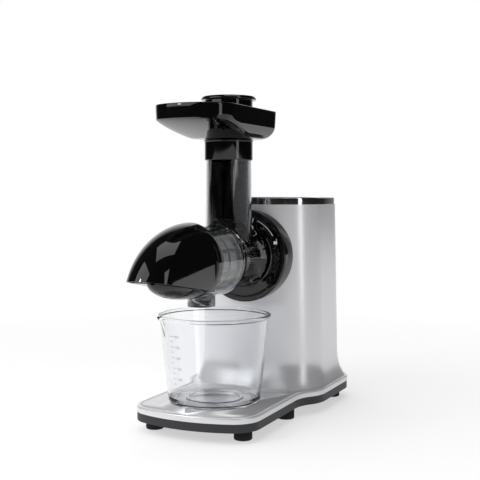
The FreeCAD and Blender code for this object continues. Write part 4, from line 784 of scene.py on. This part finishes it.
# lock marks, with bearings in degrees from +X
MARK_RADIUS = 48.0
LOCK_TICK_DEGREES, LOCK_TICK_INNER, LOCK_TICK_OUTER, LOCK_TICK_WIDTH = 73, 43.5, 49.0, 0.9
ARC_DEGREES, ARC_SWEEP, ARC_STEPS, ARC_WIDTH = 66, 34, 24, 0.8
PADLOCK_DEGREES, PADLOCK_HALF, PADLOCK_HEIGHT, PADLOCK_DROP = 23, 2.4, 3.6, 1.8
BOW_RADIUS, BOW_SIDE, BOW_RISE, BOW_WIDTH, BOW_STEPS = 1.6, 3.0, 2.2, 0.7, 10


def make_lock_marks():
    """The turn marks: a tick, an arc and an open padlock, as generic signs."""
    ends = [ring_point(r, LOCK_TICK_DEGREES) for r in (LOCK_TICK_INNER, LOCK_TICK_OUTER)]
    tick = strip("lock_tick", ends, LOCK_TICK_WIDTH, MARKS_DEPTH, PRINT)
    sweep = [ring_point(MARK_RADIUS, ARC_DEGREES - ARC_SWEEP * k / ARC_STEPS) for k in range(ARC_STEPS + 1)]
    arc = strip("lock_arc", sweep, ARC_WIDTH, MARKS_DEPTH, PRINT)
    x0, z0 = ring_point(MARK_RADIUS, PADLOCK_DEGREES)
    level = z0 - PADLOCK_DROP
    body = strip("padlock_body", [(x0 - PADLOCK_HALF, level), (x0 + PADLOCK_HALF, level)], PADLOCK_HEIGHT,
                 MARKS_DEPTH, PRINT)
    shackle = [(x0 + BOW_SIDE - BOW_RADIUS, z0)]
    for k in range(BOW_STEPS + 1):
        a = math.pi * (1 - k / BOW_STEPS)
        shackle.append((x0 + BOW_SIDE + BOW_RADIUS * math.cos(a), z0 + BOW_RISE + BOW_RADIUS * math.sin(a)))
    bow = strip("padlock_bow", shackle, BOW_WIDTH, MARKS_DEPTH, PRINT)
    for made in (tick, arc, body, bow):
        settle(made, "base")


# jug: a turned wall whose upper edge is drawn out into a spout; bearings in degrees from +X
JUG_Y = -78.5
JUG_FOOT_R, JUG_RIM_R, JUG_WALL = 54.3, 65.0, 2.2
JUG_FLOOR, JUG_ROUND, JUG_STEPS = 3.2, 1.2, 180
FOOT_HOLLOW, FOOT_RING_INNER, FOOT_RING_EDGE, FOOT_CHAMFER, WALL_LOW = 1.0, 10, 9, 1, 4
JUG_RIM_PROUD, JUG_RIM_IN = 1.6, 0.6
RIM_BEAD_HEIGHT, RIM_NECK, RIM_TOP, RIM_BEAD_DRAFT = 3.6, 4.5, 1.0, 0.2
INNER_HIGH, INNER_EDGE, INNER_LOW, INNER_FILLET = 4, 1.4, 8, 3
PUNT_RADIUS, PUNT_WIDTH, PUNT_RISE = 30.6, 2.4, 1.2
SPOUT_DEGREES, SPOUT_HEIGHT, SPOUT_REACH, SPOUT_SPREAD = 236.0, 34, 8.5, 9.0
SPOUT_POWER, SPOUT_LIFT, SPOUT_INNER_LIMIT = 1.8, 0.12, 40.0
TICK_COUNT, TICK_FIRST, TICK_PITCH, TICK_HALF, SHORT_TICK, LONG_TICK = 12, 14, 6.2, 0.25, 4.5, 8.0
PRINT_DEGREES, PRINT_UNDER, PRINT_OVER = SPOUT_DEGREES + 6, 0.02, 0.12
NUMBER_SIZE, NUMBER_HALF_THICKNESS, NUMBER_SIDE, NUMBER_DROP, NUMBER_STEP = 4.4, 0.05, 9.0, 1.5, 150


def spout_pull(degrees, z, rim):
    """How far the jug's wall is drawn out into its pouring lip."""
    away = abs((degrees - SPOUT_DEGREES + 180) % 360 - 180)
    rise = max(0.0, (z - (rim - SPOUT_HEIGHT)) / SPOUT_HEIGHT) ** SPOUT_POWER
    return SPOUT_REACH * rise * math.exp(-(away / SPOUT_SPREAD) ** 2)


def jug_outline(foot, rim, slope, steps=24):
    """The jug's section: from its foot's middle up the outside, over the rim and down to the floor."""
    outline = [(0, foot + FOOT_HOLLOW), (JUG_FOOT_R - FOOT_RING_INNER, foot + FOOT_HOLLOW),
               (JUG_FOOT_R - FOOT_RING_EDGE, foot), (JUG_FOOT_R - FOOT_CHAMFER, foot),
               (JUG_FOOT_R + slope * WALL_LOW / 2, foot + WALL_LOW / 2)]
    for i in range(steps + 1):
        z = foot + WALL_LOW + (rim - RIM_NECK - foot - WALL_LOW) * i / steps
        outline.append((JUG_FOOT_R + slope * (z - foot), z))
    bead, lip = JUG_RIM_R + JUG_RIM_PROUD, JUG_RIM_R + JUG_RIM_IN
    outline += [(bead - RIM_BEAD_DRAFT, rim - RIM_BEAD_HEIGHT), (bead, rim - RIM_TOP), (lip, rim),
                (lip - JUG_WALL, rim), (JUG_RIM_R - JUG_WALL, rim - INNER_EDGE)]
    for i in range(steps + 1):
        z = rim - INNER_HIGH - (rim - INNER_HIGH - foot - INNER_LOW) * i / steps
        outline.append((JUG_FOOT_R + slope * (z - foot) - JUG_WALL, z))
    inside, floor, punt = JUG_FOOT_R - JUG_WALL, foot + JUG_FLOOR, foot + JUG_FLOOR + PUNT_RISE
    outline += [(inside - 0.2, foot + 5), (inside - INNER_FILLET, floor),
                (PUNT_RADIUS + PUNT_WIDTH + 1, floor), (PUNT_RADIUS + PUNT_WIDTH, punt), (PUNT_RADIUS, punt),
                (PUNT_RADIUS - 1, floor), (0, floor)]
    return outline


def make_jug():
    """The clear jug, its spout, and its marks."""
    foot, rim = (corner.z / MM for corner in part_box("jug"))
    slope = (JUG_RIM_R - JUG_FOOT_R) / (rim - foot)
    outline = rounded(jug_outline(foot, rim, slope), JUG_ROUND, 4, closed=False)
    made = lathe("jug_moulding", outline, JUG_CLEAR, JUG_Y, "z", JUG_STEPS)
    middle = at(0, JUG_Y, 0)
    for v in made.data.vertices:
        flat = Vector((v.co.x - middle.x, v.co.y - middle.y))
        if flat.length > SPOUT_INNER_LIMIT * MM:
            degrees = math.degrees(math.atan2(flat.y, flat.x)) % 360
            pull = spout_pull(degrees, v.co.z / MM, rim) * MM
            out = flat.normalized() * pull
            v.co.x += out.x
            v.co.y += out.y
            v.co.z += pull * SPOUT_LIFT
    settle(made, "jug", "jug", slot="jug_clear")
    make_graduations(foot, slope)


def wall_point(foot, slope, across, z, proud):
    """A point on the jug's outer wall, across mm along it from the print's bearing."""
    r = JUG_FOOT_R + slope * (z - foot) + proud
    a = math.radians(PRINT_DEGREES) + across / r
    return at(r * math.cos(a), JUG_Y + r * math.sin(a), z)


def make_graduations(foot, slope):
    """Plain level ticks with plain numbers up the wall beside the spout."""
    points, faces = [], []
    for i in range(TICK_COUNT):
        z = foot + TICK_FIRST + TICK_PITCH * i
        faces += block_faces(len(points))
        for across in (0.0, LONG_TICK if i % 2 else SHORT_TICK):
            for dz in (-TICK_HALF, TICK_HALF):
                for proud in (PRINT_UNDER, PRINT_OVER):
                    points.append(wall_point(foot, slope, across, z + dz, proud))
    settle(piece("jug_ticks", points, faces, GREY_PRINT), "jug")
    for i in range(TICK_COUNT // 2):
        label = bpy.data.curves.new("jug_number", "FONT")
        label.body = str(NUMBER_STEP * (i + 1))
        label.size = NUMBER_SIZE
        label.extrude = NUMBER_HALF_THICKNESS
        holder = placed("jug_number_curve", label)
        bpy.context.view_layer.update()
        graph = bpy.context.evaluated_depsgraph_get()
        mesh = bpy.data.meshes.new_from_object(holder.evaluated_get(graph))
        bpy.data.objects.remove(holder)
        low = foot + TICK_FIRST + TICK_PITCH * (2 * i + 1) - NUMBER_DROP
        for v in mesh.vertices:
            v.co = wall_point(foot, slope, v.co.x + NUMBER_SIDE, low + v.co.y,
                              PRINT_UNDER + NUMBER_HALF_THICKNESS + v.co.z)
        settle(finish_object("jug_number", mesh, GREY_PRINT), "jug")


# screws, made once and repeated by a node tree
HEAD_RADIUS, HEAD_HEIGHT, HEAD_SIDE, HEAD_ROUND, HEAD_STEPS = 3.4, 2.4, 1.0, 0.5, 40
CROSS_LENGTH, CROSS_WIDTH, CROSS_DEPTH = 3.8, 0.9, 1.6


def screw_head(name):
    """A pan head with a cross recess, its face towards +Z."""
    profile = [(0, HEAD_HEIGHT), (2.4, 2.2), (HEAD_RADIUS, HEAD_SIDE), (HEAD_RADIUS, 0.0), (0, 0.0)]
    build = bmesh.new()
    rings = []
    for r, h in rounded(profile, HEAD_ROUND, 3, closed=False):
        turns = [2 * math.pi * k / HEAD_STEPS for k in range(HEAD_STEPS if r > SMALLEST_RING else 1)]
        rings.append([build.verts.new((r * MM * math.cos(a), r * MM * math.sin(a), h * MM)) for a in turns])
    for first, second in zip(rings, rings[1:]):
        for k in range(HEAD_STEPS):
            corners = [first[k % len(first)], first[(k + 1) % len(first)], second[(k + 1) % len(second)],
                       second[k % len(second)]]
            unique = list(dict.fromkeys(corners))
            if len(unique) > 2:
                build.faces.new(unique)
    bmesh.ops.recalc_face_normals(build, faces=build.faces)
    mesh = bpy.data.meshes.new(name)
    build.to_mesh(mesh)
    build.free()
    head = placed(name, mesh)
    for wide, deep in ((CROSS_LENGTH, CROSS_WIDTH), (CROSS_WIDTH, CROSS_LENGTH)):
        block = bmesh.new()
        bmesh.ops.create_cube(block, size=1.0)
        for v in block.verts:
            v.co = Vector((v.co.x * wide * MM, v.co.y * deep * MM, (HEAD_HEIGHT + v.co.z * CROSS_DEPTH) * MM))
        cutter_mesh = bpy.data.meshes.new("cross")
        block.to_mesh(cutter_mesh)
        block.free()
        carve(head, placed("cross", cutter_mesh))
    return head


def scatter_tree(source, material):
    """A node tree that sets the source on every point, turned as asked, as real geometry."""
    tree = bpy.data.node_groups.new("screw_rows", "GeometryNodeTree")
    tree.interface.new_socket("Geometry", in_out="INPUT", socket_type="NodeSocketGeometry")
    tree.interface.new_socket("Turn", in_out="INPUT", socket_type="NodeSocketRotation")
    tree.interface.new_socket("Size", in_out="INPUT", socket_type="NodeSocketFloat").default_value = 1.0
    tree.interface.new_socket("Geometry", in_out="OUTPUT", socket_type="NodeSocketGeometry")
    start = tree.nodes.new("NodeGroupInput")
    stop = tree.nodes.new("NodeGroupOutput")
    info = add(tree, "GeometryNodeObjectInfo", {"Object": source})
    spots = add(tree, "GeometryNodeInstanceOnPoints", {"Points": start.outputs["Geometry"],
                                                       "Instance": info.outputs["Geometry"],
                                                       "Rotation": start.outputs["Turn"],
                                                       "Scale": start.outputs["Size"]})
    real = add(tree, "GeometryNodeRealizeInstances", {"Geometry": spots.outputs["Instances"]})
    finish = add(tree, "GeometryNodeSetMaterial", {"Geometry": real.outputs["Geometry"],
                                                   "Material": material})
    tree.links.new(finish.outputs["Geometry"], stop.inputs["Geometry"])
    return tree


SCREW_INSET, SCREW_SHARP_DEGREES = HEAD_RADIUS, 35


def make_rear_screws():
    """A pan head at each corner of the rear cover, its face towards +Y."""
    head = screw_head("screw_head_source")
    tree = scatter_tree(head, STEEL)
    low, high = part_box("rear_screws")
    y = from_face(high.y) - HEAD_HEIGHT
    places = [at(x, y, z) for x in (low.x / MM + SCREW_INSET, high.x / MM - SCREW_INSET)
              for z in (low.z / MM + SCREW_INSET, high.z / MM - SCREW_INSET)]
    mesh = bpy.data.meshes.new("rear_screw_heads")
    mesh.from_pydata([tuple(p) for p in places], [], [])
    made = placed("rear_screw_heads", mesh)
    rows = made.modifiers.new("rows", "NODES")
    rows.node_group = tree
    for item in tree.interface.items_tree:
        if item.name == "Turn" and item.in_out == "INPUT":
            rows[item.identifier] = (-math.pi / 2, 0, 0)
    smooth(applied(made).data, SCREW_SHARP_DEGREES)
    settle(made, "base", "rear_screws", slot="steel")
    bpy.data.objects.remove(head)


# the buttons' signs
SIGN_THICKNESS, BOLD_LINE, FINE_LINE = 0.1, 0.8, 0.7
POWER_RADIUS, POWER_OPEN_DEGREES, POWER_BAR = 3.6, 35, (1.2, 4.8)
REVERSE_RADIUS = 3.0
REVERSE_TIP = ((-4.6, 1.0), (-2.6, 1.6), (-2.2, 3.6))
SPEED_BARS, SPEED_PITCH, SPEED_LOW, SPEED_SHORTEST, SPEED_GROWTH, SPEED_LINE = 3, 2.6, -2.4, 2.0, 1.4, 0.9


def arc_points(middle_x, radius, first, last, step):
    """Points along an arc about a button's middle, in degrees from straight ahead."""
    turns = [math.radians(a) for a in range(first, last, step)]
    return [(middle_x + radius * math.sin(a), radius * math.cos(a)) for a in turns]


def make_button_signs():
    """A power sign, a back-turning arrow and a step sign, printed on the buttons."""
    low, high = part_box("power_button")
    y = from_face((low.y + high.y) / 2)
    speed_low, speed_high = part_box("speed_button")
    pitch = speed_low.x / MM + (speed_high.x - speed_low.x) / MM / 2

    def sign(name, path, width, body):
        """A strip laid flat on the buttons' tops: its second direction becomes y."""
        made = strip(name, [(x, AXIS_Z + ahead) for x, ahead in path], width, 0.0, PRINT, SIGN_THICKNESS)
        for v in made.data.vertices:
            v.co = at(v.co.x / MM, y + (v.co.z / MM - AXIS_Z), high.z / MM - from_face(v.co.y))
        made.data.flip_normals()
        settle(made, body)

    sign("power_ring", arc_points(0.0, POWER_RADIUS, POWER_OPEN_DEGREES, 361 - POWER_OPEN_DEGREES, 10),
         BOLD_LINE, "power_button")
    sign("power_bar", [(0, ahead) for ahead in POWER_BAR], BOLD_LINE, "power_button")
    sign("reverse_arc", arc_points(-pitch, REVERSE_RADIUS, -60, 181, 12), FINE_LINE, "reverse_button")
    sign("reverse_tip", [(x - pitch, ahead) for x, ahead in REVERSE_TIP], FINE_LINE, "reverse_button")
    for i in range(SPEED_BARS):
        x = pitch + SPEED_PITCH * (i - 1)
        sign("speed_bar", [(x, SPEED_LOW), (x, SPEED_LOW + SPEED_SHORTEST + SPEED_GROWTH * i)], SPEED_LINE,
             "speed_button")


# nodes that keep their CAD form: those in sight get merged, smooth copies, the inner ones a material alone
SEEN = {
    "base_plate": SILVER, "tower_shell": SILVER, "base_pan": DARK, "rear_cover": DARK, "feet": RUBBER,
    "cord_inlet": RUBBER, "trim_ring": CHROME, "top_deck": BLACK, "power_button": BLACK,
    "reverse_button": BLACK, "speed_button": BLACK, "auger": RESIN,
}
INNER = {
    "base_screws": STEEL, "flange_screws": STEEL, "board_screws": STEEL, "gearbox_screws": STEEL,
    "drive_bracket": STEEL, "motor_can": STEEL, "motor_shaft": STEEL, "motor_pinion": STEEL,
    "output_shaft": STEEL, "counter_shaft": STEEL, "counter_pinion": STEEL, "gearbox_housing": HOUSING,
    "gearbox_cover": HOUSING, "motor_end": HOUSING, "cooling_fan": HOUSING, "tact_switches": HOUSING,
    "output_wheel": NYLON, "counter_wheel": NYLON, "front_bush": NYLON, "output_bearings": BRONZE,
    "counter_bushes": BRONZE, "motor_bushes": BRONZE, "motor_magnets": FERRITE, "motor_rotor": FERRITE,
    "control_board": BOARD, "auger_seal": SILICONE,
}


def dress_nodes():
    """Gives every other CAD node its material."""
    for node, material in SEEN.items():
        cad_copy(node, material)
    for node, material in INNER.items():
        target = frame["nodes"][node]
        target.data.materials.clear()
        target.data.materials.append(material)


# studio
RIGHT_SIDE = (0.95, 0.31, 0.0)
VIEW_TURN = math.radians(25.15)
VIEW_DROP = math.radians(3.03)
CAMERA_PLACE = at(480.1, -1030.2, 276.7)
FOCAL_PIXELS, FRAME_PIXELS, SENSOR_MM = 906.03, 480, 36.0
WHITE = (1, 1, 1, 1)
FLOOR_HALF, FLOOR_DROP = 6.0, 0.0002
FLOOR_PAINT, FLOOR_GLOW, FLOOR_BOUNCE = "B3B3B3", 0.55, "D8D8D8"
FADE_START, FADE_END = 0.35, 1.0
ROOM_DARK, ROOM_EDGE, ROOM_WINDOW = 0.02, 0.7, 0.9
FILL_LEFT, FILL_RIGHT, FILL_START, FILL_END = 0.95, 0.1, -0.2, 0.6


def make_floor():
    """A pale floor that keeps the shadow near the object and fades to the white behind it."""
    low, high = -FLOOR_HALF, FLOOR_HALF
    mesh = bpy.data.meshes.new("studio_floor")
    corners = ((low, low), (high, low), (high, high), (low, high))
    mesh.from_pydata([(x, y, -FLOOR_DROP) for x, y in corners], [], [[0, 1, 2, 3]])
    floor = placed("studio_floor", mesh)
    material = bpy.data.materials.new("white_sweep")
    material.use_nodes = True
    tree = material.node_tree
    tree.nodes.clear()
    paint = add(tree, "ShaderNodeBsdfDiffuse", {"Color": linear(FLOOR_PAINT)})
    glow = add(tree, "ShaderNodeEmission", {"Color": WHITE, "Strength": FLOOR_GLOW})
    near = add(tree, "ShaderNodeAddShader", {0: paint.outputs["BSDF"], 1: glow.outputs["Emission"]})
    white = add(tree, "ShaderNodeEmission", {"Color": WHITE, "Strength": 1.0})
    place = add(tree, "ShaderNodeTexCoord").outputs["Object"]
    away = add(tree, "ShaderNodeVectorMath", {0: place}, operation="LENGTH").outputs["Value"]
    fade = add(tree, "ShaderNodeMapRange", {"Value": away, "From Min": FADE_START, "From Max": FADE_END,
                                            "To Min": 0.0, "To Max": 1.0})
    seen = add(tree, "ShaderNodeMixShader", {0: fade.outputs["Result"], 1: near.outputs["Shader"],
                                             2: white.outputs["Emission"]})
    plain = add(tree, "ShaderNodeBsdfDiffuse", {"Color": linear(FLOOR_BOUNCE)})
    path = add(tree, "ShaderNodeLightPath").outputs
    straight = add(tree, "ShaderNodeMath", {0: path["Is Camera Ray"], 1: path["Is Transmission Ray"]},
                   operation="MAXIMUM")
    clean = add(tree, "ShaderNodeMath", {0: straight.outputs["Value"], 1: path["Is Glossy Ray"]},
                operation="MAXIMUM")
    final = add(tree, "ShaderNodeMixShader", {0: clean.outputs["Value"], 1: plain.outputs["BSDF"],
                                              2: seen.outputs["Shader"]})
    add(tree, "ShaderNodeOutputMaterial", {"Surface": final.outputs["Shader"]})
    mesh.materials.append(material)


def make_world():
    """White behind the object, a fill that falls off to the right, and a darker room to reflect in front."""
    world = bpy.data.worlds.new("studio")
    bpy.context.scene.world = world
    world.use_nodes = True
    tree = world.node_tree
    tree.nodes.clear()
    way = add(tree, "ShaderNodeTexCoord").outputs["Generated"]
    behind = Vector((-math.sin(VIEW_TURN), math.cos(VIEW_TURN), 0.0))
    facing = add(tree, "ShaderNodeVectorMath", {0: way, 1: behind}, operation="DOT_PRODUCT").outputs["Value"]
    room = add(tree, "ShaderNodeMapRange", {"Value": facing, "From Min": ROOM_EDGE, "From Max": ROOM_WINDOW,
                                            "To Min": ROOM_DARK, "To Max": 1.0}).outputs["Result"]
    glossy = add(tree, "ShaderNodeBackground", {"Color": WHITE, "Strength": room})
    to_right = add(tree, "ShaderNodeVectorMath", {0: way, 1: RIGHT_SIDE}, operation="DOT_PRODUCT")
    level = add(tree, "ShaderNodeMapRange", {"Value": to_right.outputs["Value"], "From Min": FILL_START,
                                             "From Max": FILL_END, "To Min": FILL_LEFT,
                                             "To Max": FILL_RIGHT}).outputs["Result"]
    fill = add(tree, "ShaderNodeBackground", {"Color": WHITE, "Strength": level})
    white = add(tree, "ShaderNodeBackground", {"Color": WHITE, "Strength": 1.0})
    path = add(tree, "ShaderNodeLightPath").outputs
    lit = add(tree, "ShaderNodeMixShader", {0: path["Is Glossy Ray"], 1: fill.outputs["Background"],
                                            2: glossy.outputs["Background"]})
    straight = add(tree, "ShaderNodeMath", {0: path["Is Camera Ray"], 1: path["Is Transmission Ray"]},
                   operation="MAXIMUM")
    final = add(tree, "ShaderNodeMixShader", {0: straight.outputs["Value"], 1: lit.outputs["Shader"],
                                              2: white.outputs["Background"]})
    add(tree, "ShaderNodeOutputWorld", {"Surface": final.outputs["Shader"]})


# name, place, target, width, height, radiance
LAMPS = (
    ("key_left", (-0.56, -0.86, 0.86), (0.0, -0.1, 0.3), 1.15, 1.0, 1.8),
    ("key_lamp", (-0.52, -0.80, 0.80), (0.0, -0.1, 0.3), 0.1, 0.1, 30.0),
    ("right_strip", (1.25, -0.5, 0.6), (0.0, 0.05, 0.2), 0.3, 1.4, 2.0),
    ("top_fill", (0.1, 0.1, 1.7), (0.0, 0.0, 0.2), 1.0, 1.0, 1.6),
)


def make_lamps():
    """Soft rectangles of a plain level, each turned to its target."""
    for name, place, target, width, height, radiance in LAMPS:
        lamp = bpy.data.lights.new(name, "AREA")
        lamp.shape = "RECTANGLE"
        lamp.size = width
        lamp.size_y = height
        lamp.energy = radiance * math.pi * width * height
        made = placed(name, lamp)
        made.location = place
        made.rotation_euler = (Vector(target) - Vector(place)).to_track_quat("-Z", "Y").to_euler()


def make_camera():
    """The camera of the photograph: its place, turn, drop and focal length."""
    data = bpy.data.cameras.new("camera")
    data.sensor_width = SENSOR_MM
    data.lens = SENSOR_MM * FOCAL_PIXELS / FRAME_PIXELS
    made = placed("camera", data)
    made.location = CAMERA_PLACE
    made.rotation_euler = (math.pi / 2 - VIEW_DROP, 0.0, VIEW_TURN)
    bpy.context.scene.camera = made


make_nose()
make_hopper()
make_pusher()
make_drum()
make_strainer()
make_flange()
make_lock_marks()
make_jug()
dress_nodes()
make_rear_screws()
make_button_signs()
make_floor()
make_world()
make_camera()
make_lamps()
bpy.context.scene.view_settings.view_transform = "Standard"
